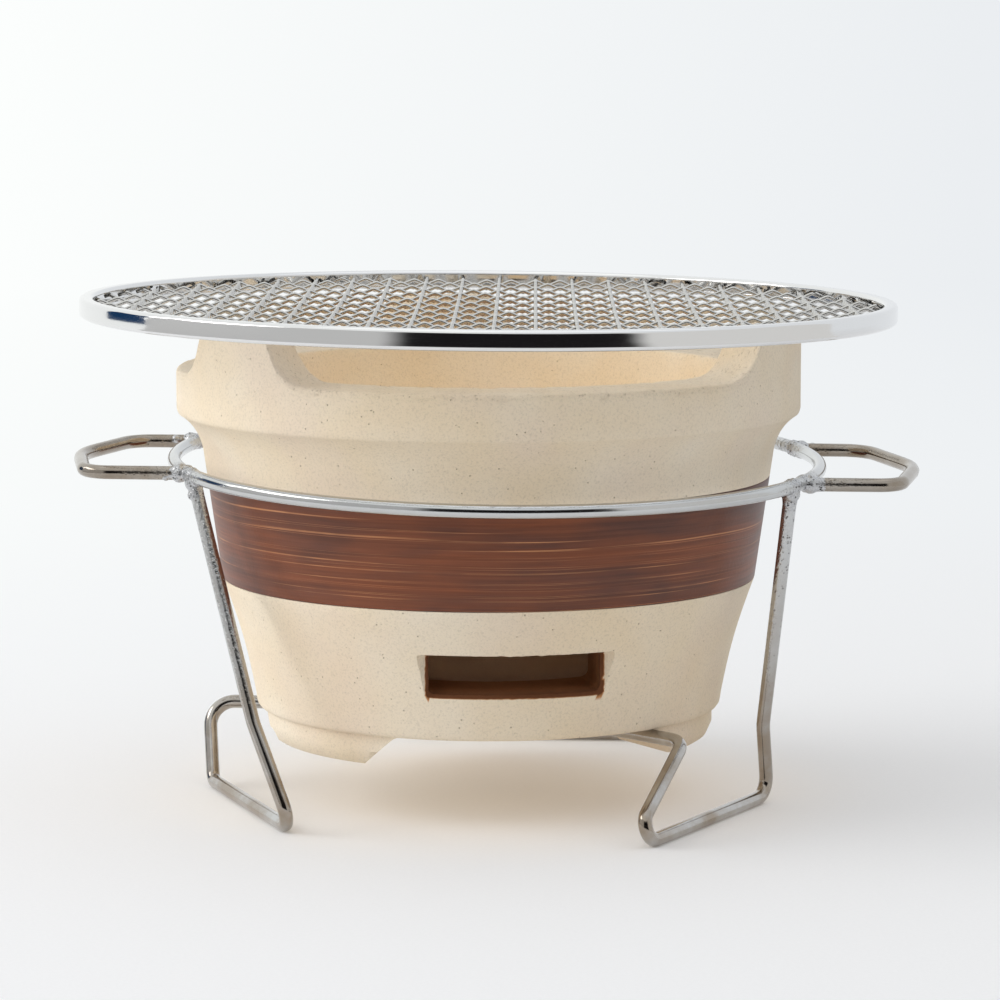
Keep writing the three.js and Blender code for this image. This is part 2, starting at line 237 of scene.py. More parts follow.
def grid(rows: int, columns: int, closed: bool = False) -> list[list[int]]:
    """The faces between rows of points that each close on themselves.

    Args:
        rows: Number of rows.
        columns: Points in a row.
        closed: Whether the last row joins the first.

    Returns:
        Corner numbers of each face.
    """
    faces = []
    for i in range(rows if closed else rows - 1):
        first, second = i * columns, (i + 1) % rows * columns
        for j in range(columns):
            k = (j + 1) % columns
            faces.append([first + j, first + k, second + k, second + j])
    return faces


def rounded(corners: Profile, radii: Sequence[float], steps: int = 5) -> list[tuple[float, float]]:
    """An outline with an arc at each corner.

    Args:
        corners: Corners of the closed outline.
        radii: Radius at each corner, 0 to keep it sharp.
        steps: Steps in each arc.

    Returns:
        The outline with its arcs.
    """
    outline = []
    count = len(corners)
    for i, radius in enumerate(radii):
        corner = Vector(corners[i])
        if radius <= 0:
            outline.append(tuple(corner))
            continue
        back = (Vector(corners[i - 1]) - corner).normalized()
        ahead = (Vector(corners[(i + 1) % count]) - corner).normalized()
        half = back.angle(ahead) / 2
        start = corner + back * (radius / math.tan(half))
        end = corner + ahead * (radius / math.tan(half))
        centre = corner + (back + ahead).normalized() * (radius / math.sin(half))
        first, last = start - centre, end - centre
        swing = first.angle(last)
        for step in range(steps + 1):
            share = step / steps
            near = math.sin((1 - share) * swing) / math.sin(swing)
            far = math.sin(share * swing) / math.sin(swing)
            outline.append(tuple(centre + first * near + last * far))
    return outline


def bent_path(corners: Sequence[Vector], bends: Sequence[float], step: float = 9.0) -> list[Vector]:
    """Straight runs between corners, with an arc at each inner corner.

    Args:
        corners: Ends and corners of the wire's centre line.
        bends: Radius of each inner corner's arc.
        step: Degrees turned in each piece of an arc.

    Returns:
        Points along the centre line.
    """
    points = [corners[0]]
    for i in range(1, len(corners) - 1):
        back = (corners[i - 1] - corners[i]).normalized()
        ahead = (corners[i + 1] - corners[i]).normalized()
        half = back.angle(ahead) / 2
        bend = bends[i - 1]
        centre = corners[i] + (back + ahead).normalized() * (bend / math.sin(half))
        first = corners[i] + back * (bend / math.tan(half)) - centre
        swing = math.pi - 2 * half
        axis = back.cross(ahead).normalized()
        steps = max(2, math.ceil(math.degrees(swing) / step))
        for k in range(steps + 1):
            points.append(centre + Matrix.Rotation(-swing * k / steps, 3, axis) @ first)
    points.append(corners[-1])
    return points


# ---- node trees ----


class NodeMaker:
    """Adds and joins the nodes of one tree."""

    def __init__(self, tree: bpy.types.NodeTree) -> None:
        """Keeps the tree that the nodes go in."""
        self.tree = tree

    def give(self, taker: bpy.types.NodeSocket, value: object) -> None:
        """Links an input to a socket, or sets its value.

        Args:
            taker: The input.
            value: A socket, a number, a vector or the three parts of a colour.
        """
        if isinstance(value, bpy.types.NodeSocket):
            self.tree.links.new(value, taker)
        elif taker.type == "RGBA":
            taker.default_value = (*value, 1)
        else:
            taker.default_value = value

    def node(self, kind: str, inputs: Optional[dict] = None, **settings: object) -> bpy.types.Node:
        """Adds a node.

        Args:
            kind: Its type name.
            inputs: What each input takes.
            settings: The node's own properties.

        Returns:
            The node.
        """
        made = self.tree.nodes.new(kind)
        for key, value in settings.items():
            setattr(made, key, value)
        for key, value in (inputs or {}).items():
            self.give(made.inputs[key], value)
        return made

    def maths(self, operation: str, *values: object, clamp: bool = False) -> bpy.types.NodeSocket:
        """A Math node's result.

        Args:
            operation: What it does.
            values: Its inputs, sockets or numbers.
            clamp: Whether the result is held between 0 and 1.

        Returns:
            The result.
        """
        return self.node(
            "ShaderNodeMath", dict(enumerate(values)), operation=operation, use_clamp=clamp
        ).outputs[0]

    def product(self, *values: object) -> bpy.types.NodeSocket:
        """Two or more values multiplied, from the first to the last.

        Args:
            values: Sockets or numbers.

        Returns:
            The product.
        """
        total = values[0]
        for value in values[1:]:
            total = self.maths("MULTIPLY", total, value)
        return total

    def parts(self, vector: bpy.types.NodeSocket) -> Sequence[bpy.types.NodeSocket]:
        """The X, Y and Z of a vector."""
        return self.node("ShaderNodeSeparateXYZ", {0: vector}).outputs

    def vector(self, *parts: object) -> bpy.types.NodeSocket:
        """A vector of up to three parts. Those left out are 0."""
        return self.node("ShaderNodeCombineXYZ", dict(enumerate(parts))).outputs[0]

    def length(self, vector: bpy.types.NodeSocket) -> bpy.types.NodeSocket:
        """The length of a vector."""
        return self.node("ShaderNodeVectorMath", {0: vector}, operation="LENGTH").outputs["Value"]

    def blend(
        self, share: object, first: object, second: object, how: str = "MIX"
    ) -> bpy.types.NodeSocket:
        """Mixes two colours.

        Args:
            share: Share of the second, a socket or a number.
            first: A colour or a socket.
            second: A colour or a socket.
            how: Kind of mix.

        Returns:
            The mixed colour.
        """
        return self.node(
            "ShaderNodeMix", {0: share, 6: first, 7: second}, data_type="RGBA", blend_type=how
        ).outputs[2]

    def rise(
        self,
        value: bpy.types.NodeSocket,
        limits: tuple[float, float],
        levels: tuple[float, float] = (0.0, 1.0),
        how: str = "SMOOTHSTEP",
    ) -> bpy.types.NodeSocket:
        """A value that goes from one level to another between two limits.

        Args:
            value: What it reads.
            limits: Where the change starts and ends.
            levels: What it gives at the first limit and at the second.
            how: Shape of the change.

        Returns:
            The result.
        """
        sizes = {"From Min": limits[0], "From Max": limits[1], "To Min": levels[0], "To Max": levels[1]}
        return self.node(
            "ShaderNodeMapRange", {"Value": value, **sizes}, interpolation_type=how
        ).outputs[0]


class TreeMaker(NodeMaker):
    """Builds a Geometry Nodes tree and sets its inputs on a modifier."""

    def __init__(self, name: str) -> None:
        """Starts an empty tree.

        Args:
            name: Name of the tree.
        """
        super().__init__(bpy.data.node_groups.new(name, "GeometryNodeTree"))
        self.values: dict[str, object] = {}
        self.tree.interface.new_socket(
            name="Geometry", in_out="OUTPUT", socket_type="NodeSocketGeometry"
        )
        self.start = self.node("NodeGroupInput")
        self.end = self.node("NodeGroupOutput")

    def size(self, name: str, value: object, kind: str = "NodeSocketFloat") -> bpy.types.NodeSocket:
        """Adds a named input.

        Args:
            name: Name of the input.
            value: Its value on the modifier, or None for the shape that the modifier is on.
            kind: Its socket type.

        Returns:
            The socket that gives it inside the tree.
        """
        made = self.tree.interface.new_socket(name=name, in_out="INPUT", socket_type=kind)
        if value is not None:
            self.values[made.identifier] = value
        return next(s for s in self.start.outputs if s.identifier == made.identifier)

    def swept(
        self, line: bpy.types.NodeSocket, diameter: bpy.types.NodeSocket, sides: bpy.types.NodeSocket
    ) -> bpy.types.NodeSocket:
        """A round section carried along curves, with closed ends.

        Args:
            line: The curves.
            diameter: Of the section.
            sides: Of the section.

        Returns:
            The mesh.
        """
        section = self.node(
            "GeometryNodeCurvePrimitiveCircle",
            {"Resolution": sides, "Radius": self.maths("MULTIPLY", diameter, 0.5)},
        )
        return self.node(
            "GeometryNodeCurveToMesh",
            {"Curve": line, "Profile Curve": section.outputs[0], "Fill Caps": True},
        ).outputs[0]

    def dressed(self, shape: bpy.types.NodeSocket, material: bpy.types.Material) -> None:
        """Ends the tree in Realize Instances and Set Material.

        Args:
            shape: The finished geometry.
            material: What it is made of.
        """
        given = self.size("Material", material, "NodeSocketMaterial")
        real = self.node("GeometryNodeRealizeInstances", {"Geometry": shape}).outputs[0]
        smooth = self.node("GeometryNodeSetShadeSmooth", {"Geometry": real}).outputs[0]
        set_on = self.node("GeometryNodeSetMaterial", {"Geometry": smooth, "Material": given})
        self.give(self.end.inputs[0], set_on.outputs[0])

    def apply(self, host: bpy.types.Object) -> bpy.types.Mesh:
        """Runs the tree on an object and takes the result as a plain mesh.

        Args:
            host: Object that carries the modifier. It goes.

        Returns:
            The mesh.
        """
        modifier = host.modifiers.new(self.tree.name, "NODES")
        modifier.node_group = self.tree
        for identifier, value in self.values.items():
            modifier[identifier] = value
        bpy.context.scene.collection.objects.link(host)
        return plain_mesh(host, self.tree.name)


def wire_mesh(
    name: str, path: Sequence[Vector], diameter: float, material: bpy.types.Material
) -> bpy.types.Mesh:
    """A round wire that follows a path.

    Args:
        name: Name of the tree and the mesh.
        path: Points along the centre line, in millimetres.
        diameter: Of the wire.
        material: What it is made of.

    Returns:
        The mesh, in metres.
    """
    curve = bpy.data.curves.new(name, "CURVE")
    curve.dimensions = "3D"
    spline = curve.splines.new("POLY")
    spline.points.add(len(path) - 1)
    for point, place in zip(spline.points, path):
        point.co = (*(place * MM), 1.0)
    tree = TreeMaker(name)
    line = tree.size("Centre Line", None, "NodeSocketGeometry")
    width = tree.size("Wire Diameter", diameter * MM)
    count = tree.size("Sides", 20, "NodeSocketInt")
    tree.dressed(tree.swept(line, width, count), material)
    return tree.apply(bpy.data.objects.new(name, curve))


# ---- materials ----


class Shader(NodeMaker):
    """Builds one material's nodes round a Principled BSDF."""

    def __init__(self, name: str) -> None:
        """Starts the material.

        Args:
            name: Name of the material.
        """
        self.material = bpy.data.materials.new(name)
        self.material.use_nodes = True
        super().__init__(self.material.node_tree)
        self.surface = self.tree.nodes["Principled BSDF"]
        self.coordinates = self.node("ShaderNodeTexCoord").outputs["Object"]

    def stretched(
        self, vector: bpy.types.NodeSocket, scale: tuple[float, float, float]
    ) -> bpy.types.NodeSocket:
        """Coordinates with a scale for each axis."""
        return self.node("ShaderNodeMapping", {"Vector": vector, "Scale": scale}).outputs[0]

    def clouds(
        self,
        scale: float,
        detail: float = 2.0,
        roughness: float = 0.5,
        vector: Optional[bpy.types.NodeSocket] = None,
    ) -> bpy.types.NodeSocket:
        """A noise texture's value.

        Args:
            scale: Noise cells to the metre.
            detail: Octaves.
            roughness: Share of each finer octave.
            vector: Coordinates, the object's own if left out.

        Returns:
            The value, about 0.5.
        """
        sizes = {"Scale": scale, "Detail": detail, "Roughness": roughness}
        return self.node(
            "ShaderNodeTexNoise", {"Vector": vector or self.coordinates, **sizes}
        ).outputs[0]

    def cells(self, scale: float) -> bpy.types.NodeSocket:
        """Distance to the nearest of points scattered at a number of cells to the metre."""
        inputs = {"Vector": self.coordinates, "Scale": scale}
        return self.node("ShaderNodeTexVoronoi", inputs).outputs["Distance"]

    def ramp(self, value: bpy.types.NodeSocket, *stops: tuple[float, float]) -> bpy.types.NodeSocket:
        """A grey ramp.

        Args:
            value: What it reads.
            stops: Position and grey of each stop.

        Returns:
            The grey.
        """
        made = self.node("ShaderNodeValToRGB", {0: value})
        band = made.color_ramp
        while len(band.elements) < len(stops):
            band.elements.new(0.5)
        for element, (position, grey) in zip(band.elements, stops):
            element.position = position
            element.color = (grey, grey, grey, 1)
        return made.outputs[0]

    def spots(
        self,
        scale: float,
        size: tuple[float, float],
        patches: bpy.types.NodeSocket,
        limits: tuple[float, float],
    ) -> bpy.types.NodeSocket:
        """Round spots that come in patches.

        Args:
            scale: Cells of the spots to the metre.
            size: Where a spot starts to fade and where it ends, in cells.
            patches: Noise that places the patches.
            limits: Value of the noise at which a patch starts, and at which it is full.

        Returns:
            1 in a spot and 0 outside.
        """
        dots = self.ramp(self.cells(scale), (0.0, 1), (size[0], 1), (size[1], 0))
        return self.product(dots, self.ramp(patches, (limits[0], 0), (limits[1], 1)))

    def attribute(self, name: str) -> bpy.types.NodeSocket:
        """The value of a named attribute of the mesh."""
        return self.node("ShaderNodeAttribute", attribute_name=name).outputs["Fac"]

    def bumps(
        self,
        value: bpy.types.NodeSocket,
        depth: float,
        strength: float,
        under: Optional[bpy.types.NodeSocket] = None,
    ) -> bpy.types.NodeSocket:
        """A bump of a real depth.

        Args:
            value: Height, 0 to 1.
            depth: Metres from 0 to 1.
            strength: How much of it shows.
            under: A bump that it lies on.

        Returns:
            The normal.
        """
        inputs = {"Height": value, "Distance": depth, "Strength": strength}
        if under is not None:
            inputs["Normal"] = under
        return self.node("ShaderNodeBump", inputs).outputs[0]

    def put(self, name: str, value: object) -> None:
        """Sets or links a named input of the Principled BSDF."""
        self.give(self.surface.inputs[name], value)

    def cover(self, shown: bpy.types.NodeSocket) -> None:
        """Makes another shader the material's surface."""
        self.give(self.tree.nodes["Material Output"].inputs[0], shown)


@dataclass(frozen=True)
class DiatomiteFinish:
    """Pale cut diatomite: fine grain, pinholes, soft stains and coarser cut faces.

    The mesh says how cut a face is, from 0 to 1, and how much painted shade its hollows get: a warm
    shade from 0 to 1 and a deep brown one from 1 to 2.
    """

    pale: Colour = linear(237, 225, 205)
    warm: Colour = linear(233, 214, 184)
    rosy: Colour = linear(229, 210, 191)
    pit: Colour = linear(120, 96, 70)
    painted_shade_warm: Colour = linear(190, 134, 86)
    painted_shade_deep: Colour = linear(110, 68, 41)
    roughness: float = 0.93
    shine: float = 0.25
    grain_depth: float = 0.00022
    lump_depth: float = 0.0007
    hole_depth: float = 0.0005

    def build(self) -> bpy.types.Material:
        """Makes the material.

        Returns:
            The material.
        """
        shader = Shader("diatomite")
        cut, dark_tone = shader.attribute("cut"), shader.attribute("dark_tone")
        patches = shader.ramp(shader.clouds(16, 3, 0.6), (0.35, 0), (0.68, 1))
        colour = shader.blend(patches, self.pale, self.warm)
        blush = shader.ramp(shader.clouds(27), (0.5, 0), (0.75, 0.55))
        colour = shader.blend(blush, colour, self.rosy)
        # Painted shade: the chamber's wall, the vent's tunnel and the ash pit darken towards warm and
        # deep brown, in place of the shade in these hollows.
        colour = shader.blend(dark_tone, colour, self.painted_shade_warm)
        deep = shader.maths("SUBTRACT", dark_tone, 1.0, clamp=True)
        colour = shader.blend(deep, colour, self.painted_shade_deep)
        grain = shader.clouds(1500, 3, 0.75)
        shade = shader.ramp(grain, (0.3, 0.83), (0.5, 0.99), (0.7, 1.0))
        colour = shader.blend(1.0, colour, shade, "MULTIPLY")
        pinholes = shader.spots(560, (0.07, 0.14), shader.clouds(430, 1), (0.57, 0.62))
        pores = shader.spots(820, (0.2, 0.3), shader.clouds(420), (0.46, 0.56))
        holes = shader.maths("MAXIMUM", pinholes, shader.product(pores, cut, 0.6))
        colour = shader.blend(shader.product(holes, 0.45), colour, self.pit)
        shader.put("Base Color", colour)
        shader.put("Roughness", self.roughness)
        shader.put("Specular IOR Level", self.shine)
        coarse = shader.maths("MULTIPLY_ADD", cut, 0.9, 0.28)
        lumps = shader.product(shader.clouds(520, 3, 0.7), coarse)
        fine = shader.bumps(grain, self.grain_depth, 0.55)
        lumpy = shader.bumps(lumps, self.lump_depth, 0.6, fine)
        solid = shader.maths("SUBTRACT", 1.0, holes)
        shader.put("Normal", shader.bumps(solid, self.hole_depth, 0.9, lumpy))
        return shader.material


@dataclass(frozen=True)
class WoodgrainFinish:
    """Brown film printed with long streaks of grain, with a soft satin sheen."""

    base: Colour = linear(118, 66, 42)
    dark: Colour = linear(92, 56, 44)
    red: Colour = linear(134, 72, 40)
    line: Colour = linear(206, 142, 94)
    roughness: float = 0.4
    shine: float = 0.32
    wander: float = 0.0022
    streak_depth: float = 0.00012
    skin_depth: float = 0.00008

    def build(self) -> bpy.types.Material:
        """Makes the material.

        Returns:
            The material.
        """
        shader = Shader("woodgrain_film")
        out, along, up = shader.parts(shader.coordinates)
        level = shader.maths("MULTIPLY_ADD", shader.clouds(11), self.wander, up)
        wavy = shader.vector(out, along, level)

        def streaks(along: float, over: float, detail: float) -> bpy.types.NodeSocket:
            """Noise drawn out along the band, in cells to the metre along and over it."""
            return shader.clouds(1.0, detail, 0.6, shader.stretched(wavy, (along, along, over)))

        patches = shader.ramp(streaks(18, 60, 3), (0.42, 0), (0.62, 1))
        colour = shader.blend(patches, self.base, self.dark)
        warmth = shader.ramp(streaks(9, 150, 3), (0.45, 0), (0.68, 0.85))
        colour = shader.blend(warmth, colour, self.red)
        fibres = shader.ramp(streaks(24, 1100, 3), (0.35, 0.82), (0.65, 1.14))
        colour = shader.blend(1.0, colour, fibres, "MULTIPLY")
        thin = shader.ramp(streaks(2.2, 820, 0), (0.612, 0), (0.628, 1), (0.644, 0))
        broken = shader.ramp(shader.clouds(38, 3), (0.38, 0.2), (0.58, 1))
        colour = shader.blend(shader.product(thin, broken, 0.85), colour, self.line)
        shader.put("Base Color", colour)
        worn = shader.maths("MULTIPLY_ADD", streaks(30, 300, 2), 0.14, self.roughness - 0.07)
        shader.put("Roughness", worn)
        shader.put("Specular IOR Level", self.shine)
        skin = shader.bumps(streaks(30, 900, 2), self.streak_depth, 0.5)
        shader.put("Normal", shader.bumps(shader.clouds(900), self.skin_depth, 0.5, skin))
        return shader.material


@dataclass(frozen=True)
class FiredClayFinish:
    """Coarse fired clay of the plate under the charcoal."""

    body: Colour = linear(180, 139, 114)
    scorched: Colour = linear(150, 112, 90)
    roughness: float = 0.9
    grit_depth: float = 0.0006

    def build(self) -> bpy.types.Material:
        """Makes the material.

        Returns:
            The material.
        """
        shader = Shader("fired_clay")
        tone = shader.ramp(shader.clouds(45, 4, 0.65), (0.35, 0), (0.65, 1))
        colour = shader.blend(tone, self.body, self.scorched)
        grit = shader.ramp(shader.cells(520), (0.0, 0.72), (0.22, 1.0))
        shader.put("Base Color", shader.blend(1.0, colour, grit, "MULTIPLY"))
        shader.put("Roughness", self.roughness)
        shader.put("Normal", shader.bumps(shader.clouds(700, 4, 0.7), self.grit_depth, 0.7))
        return shader.material


@dataclass(frozen=True)
class PolishedFinish:
    """Mirror-polished steel sheet of the net's rim."""

    colour: Colour = linear(230, 230, 230)
    roughness: float = 0.09
    wave_depth: float = 0.0004

    def build(self) -> bpy.types.Material:
        """Makes the material.

        Returns:
            The material.
        """
        shader = Shader("polished_rim")
        shader.put("Base Color", self.colour)
        shader.put("Metallic", 1.0)
        marks = shader.clouds(1.0, 3, 0.6, shader.stretched(shader.coordinates, (60, 60, 900)))
        shader.put("Roughness", shader.maths("MULTIPLY_ADD", marks, 0.08, self.roughness - 0.04))
        shader.put("Normal", shader.bumps(shader.clouds(55), self.wave_depth, 0.12))
        return shader.material


@dataclass(frozen=True)
class DrawnWireFinish:
    """Drawn steel wire with faint pits, darker and browner towards the table and spotted near a weld.

    The mesh says how near a weld is, from 0 to 1.
    """

    name: str
    colour: Colour
    dark_tone: Colour
    roughness: float
    pitting: float
    dark_tone_above: float = 0.15
    spot: Colour = linear(70, 66, 64)
    pit_depth: float = 0.00003
    lump_depth: float = 0.0006
    spot_depth: float = 0.0003

    def build(self) -> bpy.types.Material:
        """Makes the material.

        Returns:
            The material.
        """
        shader = Shader(self.name)
        near = shader.attribute("near_weld")
        height = shader.parts(shader.coordinates)[2]
        low = shader.ramp(height, (0.0, 1), (0.03, 0.9), (0.075, self.dark_tone_above))
        tone = shader.ramp(shader.clouds(60, 4, 0.6), (0.32, 0.25), (0.62, 1))
        colour = shader.blend(shader.product(tone, low), self.colour, self.dark_tone)
        spots = shader.spots(950, (0.16, 0.3), shader.clouds(480), (0.44, 0.56))
        spots = shader.product(spots, near)
        colour = shader.blend(shader.product(spots, 0.8), colour, self.spot)
        shader.put("Base Color", colour)
        shader.put("Metallic", 1.0)
        patches = shader.clouds(260, 3, 0.6)
        rough = shader.maths("MULTIPLY_ADD", patches, 0.12, self.roughness - 0.06)
        shader.put("Roughness", shader.maths("MULTIPLY_ADD", near, 0.18, rough))
        fine = shader.bumps(shader.clouds(2200, 2, 0.6), self.pit_depth, self.pitting)
        swollen = shader.product(shader.clouds(900, 3), near)
        lumps = shader.bumps(swollen, self.lump_depth, 0.6, fine)
        solid = shader.maths("SUBTRACT", 1.0, spots)
        shader.put("Normal", shader.bumps(solid, self.spot_depth, 0.8, lumps))
        return shader.material


@dataclass(frozen=True)
class WeldFinish:
    """Bright blobs of weld with small dark pores, plated over."""

    colour: Colour = linear(196, 197, 199)
    pore: Colour = linear(64, 60, 58)
    roughness: float = 0.26
    lump_depth: float = 0.0006
    pore_depth: float = 0.0004

    def build(self) -> bpy.types.Material:
        """Makes the material.

        Returns:
            The material.
        """
        shader = Shader("weld")
        holes = shader.spots(900, (0.16, 0.3), shader.clouds(420), (0.44, 0.54))
        shader.put("Base Color", shader.blend(holes, self.colour, self.pore))
        shader.put("Metallic", 1.0)
        patches = shader.clouds(700)
        shader.put("Roughness", shader.maths("MULTIPLY_ADD", patches, 0.3, self.roughness - 0.15))
        lumps = shader.bumps(shader.clouds(800, 3, 0.65), self.lump_depth, 0.7)
        solid = shader.maths("SUBTRACT", 1.0, holes)
        shader.put("Normal", shader.bumps(solid, self.pore_depth, 0.8, lumps))
        return shader.material


# ---- the bowl and what is in and on it ----


@dataclass(frozen=True)
class Slots:
    """Tapered slots cut straight through the wall, in the order round the bowl.

    A place is the angle of a slot's middle and how much less than narrow_half its half width is.
    """

    places: tuple[tuple[float, float], ...]
    narrow_half: float
    slope: float
    corner: float
    distance: float
    flare: float
    skew: float

    def side(self, less: float, steps: int, lift: float) -> list[tuple[float, float]]:
        """Half of a slot's section, from its middle to where it leaves the wall.

        Args:
            less: How much less this slot's half width is.
            steps: Steps on the flat. The corner has a third of them, the straight side a fifth.
            lift: Height of the section.

        Returns:
            Pairs of half width and height above the narrow edge.
        """
        half = self.narrow_half - less
        run, rise = 1 / math.hypot(1, self.slope), self.slope / math.hypot(1, self.slope)
        flat = half - self.corner
        section = [(flat * i / steps, 0.0) for i in range(steps)]
        arc = steps // 3
        for i in range(arc + 1):
            share = i / arc
            near, mid, far = (1 - share) ** 2, 2 * share * (1 - share), share**2
            out = near * flat + mid * half + far * (half + run * self.corner)
            section.append((out, far * rise * self.corner))
        last_out, last_up = section[-1]
        line = steps // 5
        for i in range(1, line + 1):
            up = last_up + (lift - last_up) * i / line
            section.append((last_out + (up - last_up) / self.slope, up))
        return section

    def depth(self, swing: float, less: float, radius: float) -> float:
        """Height of the slot's section at a place beside its middle.

        Args:
            swing: Degrees from the slot's middle.
            less: How much less this slot's half width is.
            radius: Of the circle that the place is on.

        Returns:
            The height above the narrow edge.
        """
        beyond = radius * math.cos(math.radians(swing)) - self.distance
        half = radius * math.sin(math.radians(swing))
        half /= 1 + self.flare * beyond / (self.narrow_half - less)
        section = self.side(less, 40, 60.0)
        return float(np.interp(abs(half), [s[0] for s in section], [s[1] for s in section]))

    def line(self, half: float, angle: float, less: float, radius: float) -> float:
        """Where the slot's edge at a half width crosses a circle round the bowl.

        Args:
            half: Signed half width.
            angle: The slot's own angle.
            less: How much less this slot's half width is.
            radius: Of the circle.

        Returns:
            The angle, in degrees round the bowl.
        """
        swing = math.asin(max(-1.0, min(1.0, half / radius)))
        for _ in range(12):
            out = radius * math.cos(swing)
            beyond = out - self.distance
            across = half * (1 + self.flare * beyond / (self.narrow_half - less)) - self.skew * beyond
            swing = math.asin(max(-0.9999, min(0.9999, across / radius)))
        return angle + math.degrees(swing)


@dataclass
class Bowl:
    """The turned and cut diatomite bowl, with its band and its fire plate."""

    off_centre: float = -2.5
    underside: float = 26.665
    foot_radius: float = 66.4
    foot_rounding: float = 4.5
    foot_height: float = 9.4
    foot_inner: float = 38.0
    bottom_radius: float = 68.1
    bottom_chamfer: float = 0.9
    belly_radius: float = 78.8
    belly_height: float = 38.4
    belly_hollow: float = 1.9
    neck_radius: float = 84.2
    neck_height: float = 76.3
    collar_radius: float = 91.9
    collar_bottom: float = 87.4
    lug_height: float = 114.8
    lean: float = 0.55
    mouth_radius: float = 74.5
    floor_height: float = 12.0
    ash_radius: float = 47.0
    ledge_height: float = 34.0
    ledge_radius: float = 55.5
    band_width: float = 29.9
    band_depth: float = 0.7
    gap: float = 0.12
    notches: Slots = Slots(
        ((7.6, 0.0), (132.0, 4.3), (248.5, 2.6)), 64.5, 14.5 / 6.5, 10.0, 58.9, 0.35, 0.13
    )
    notch_floor: float = 100.3
    arches: Slots = Slots(
        ((11.0, 0.0), (131.0, 0.0), (248.0, 3.0)), 34.5, 9.4 / 10.5, 2.0, 45.0, 0.3, 0.0
    )
    vent_angle: float = 6.4
    vent_width: float = 48.7
    vent_height: float = 11.1
    vent_sill: float = 13.5
    vent_flare: float = 2.4
    vent_chipping: int = 14
    # Painted shade in the vent's tunnel, then a faint one on the chamber's wall and a stronger one in the
    # ash pit.
    vent_shade_start: float = 0.8
    vent_shade_rise: float = 5.0
    vent_shade_fade: tuple[float, float] = (3.0, 11.0)
    vent_shade_faded: float = 0.75
    vent_shade_reach: float = 7.0
    vent_shade_play: float = 0.9
    chamber_painted_shade: float = 0.03
    ash_painted_shade: float = 0.6
    edge_fillet: float = 1.5
    inner_fillet: float = 1.0
    slot_steps: int = 40
    lug_steps: int = 34
    plate_radius: float = 54.0
    plate_thickness: float = 7.0
    plate_hole: float = 9.0
    plate_step: float = 19.0

    def wall_radius(self, height: float) -> float:
        """Outer radius of the wall between the chamfer and the neck.

        Args:
            height: Above the bowl's underside.

        Returns:
            The radius.
        """
        if height > self.belly_height:
            share = (height - self.belly_height) / (self.neck_height - self.belly_height)
            return self.belly_radius + share * (self.neck_radius - self.belly_radius)
        start = self.bottom_radius + self.bottom_chamfer
        share = max(0.0, height - 3.0) / (self.belly_height - 3.0)
        hollow = self.belly_hollow * math.sin(share * math.pi) / 2
        return start + share * (self.belly_radius - start) - hollow

    def inner_radius(self, height: float) -> float:
        """Radius of the chamber's wall.

        Args:
            height: Above the bowl's underside.

        Returns:
            The radius.
        """
        slope = (self.mouth_radius - self.ledge_radius) / (self.lug_height - self.ledge_height)
        return self.ledge_radius + slope * (height - self.ledge_height)

    def columns(
        self,
        slots: Slots,
        lift: float,
        outer: float,
        inner: Callable[[float], float],
    ) -> tuple[np.ndarray, np.ndarray, np.ndarray, np.ndarray]:
        """Mesh columns that follow the slots' edges round the bowl.

        Args:
            slots: The slots.
            lift: Height of a slot's section.
            outer: Radius of the outer circle.
            inner: Radius of the inner circle at a height above the narrow edge.

        Returns:
            Angles on the outer circle, angles on the inner one, the section's height and how far each
            column is into a lug, from 0 at its edge to 1.
        """
        outside, inside, heights, into = [], [], [], []
        count = len(slots.places)
        for index, (angle, less) in enumerate(slots.places):
            half = slots.side(less, self.slot_steps, lift)
            both = [(-s, h) for s, h in reversed(half[1:])] + half
            for across, height in both:
                outside.append(slots.line(across, angle, less, outer))
                inside.append(slots.line(across, angle, less, inner(height)))
                heights.append(height)
                into.append(0.0)
            next_angle, next_less = slots.places[(index + 1) % count]
            next_angle += 360.0 if index == count - 1 else 0.0
            next_half = slots.side(next_less, self.slot_steps, lift)[-1][0]
            next_outside = slots.line(-next_half, next_angle, next_less, outer)
            next_inside = slots.line(-next_half, next_angle, next_less, inner(lift))
            last_outside, last_inside = outside[-1], inside[-1]
            for i in range(1, self.lug_steps):
                share = i / self.lug_steps
                share -= 0.55 * math.sin(2 * math.pi * share) / (2 * math.pi)
                outside.append(last_outside + share * (next_outside - last_outside))
                inside.append(last_inside + share * (next_inside - last_inside))
                heights.append(lift)
                into.append(min(share, 1 - share) * 2)
        return np.array(outside), np.array(inside), np.array(heights), np.array(into)

    def foot_columns(self, radius: float) -> tuple[np.ndarray, np.ndarray]:
        """Angle and depth of each mesh column where a circle cuts the arches and the feet.

        Args:
            radius: Of the circle.

        Returns:
            Angles in radians, and how far each column hangs below the underside.
        """
        angles, _, drops, _ = self.columns(
            self.arches, self.foot_height, radius, lambda h: radius
        )
        own = len(self.arches.side(0.0, self.slot_steps, self.foot_height)) * 2 - 1
        each = own + self.lug_steps - 1
        count = len(self.arches.places)
        for index, (angle, less) in enumerate(self.arches.places):
            last = index * each + own - 1
            ahead_angle, ahead_less = self.arches.places[(index + 1) % count]
            ahead = ((index + 1) * each) % len(angles)
            turn = 360.0 if index == count - 1 else 0.0
            if angles[last] < angles[ahead] + turn:
                continue
            low, high = angles[ahead] + turn, angles[last]
            for _ in range(40):
                middle = (low + high) / 2
                depth = self.arches.depth(middle - angle, less, radius)
                if depth < self.arches.depth(ahead_angle + turn - middle, ahead_less, radius):
                    low = middle
                else:
                    high = middle
            near = np.arange(index * each + own // 2, last + self.lug_steps)
            past = near[(angles[near] > middle) | (near > last)]
            angles[past], drops[past] = middle, depth
            far = np.arange(ahead, ahead + own // 2)
            past = far[angles[far] + turn < middle]
            angles[past], drops[past] = middle - turn, depth
        return np.radians(angles), drops

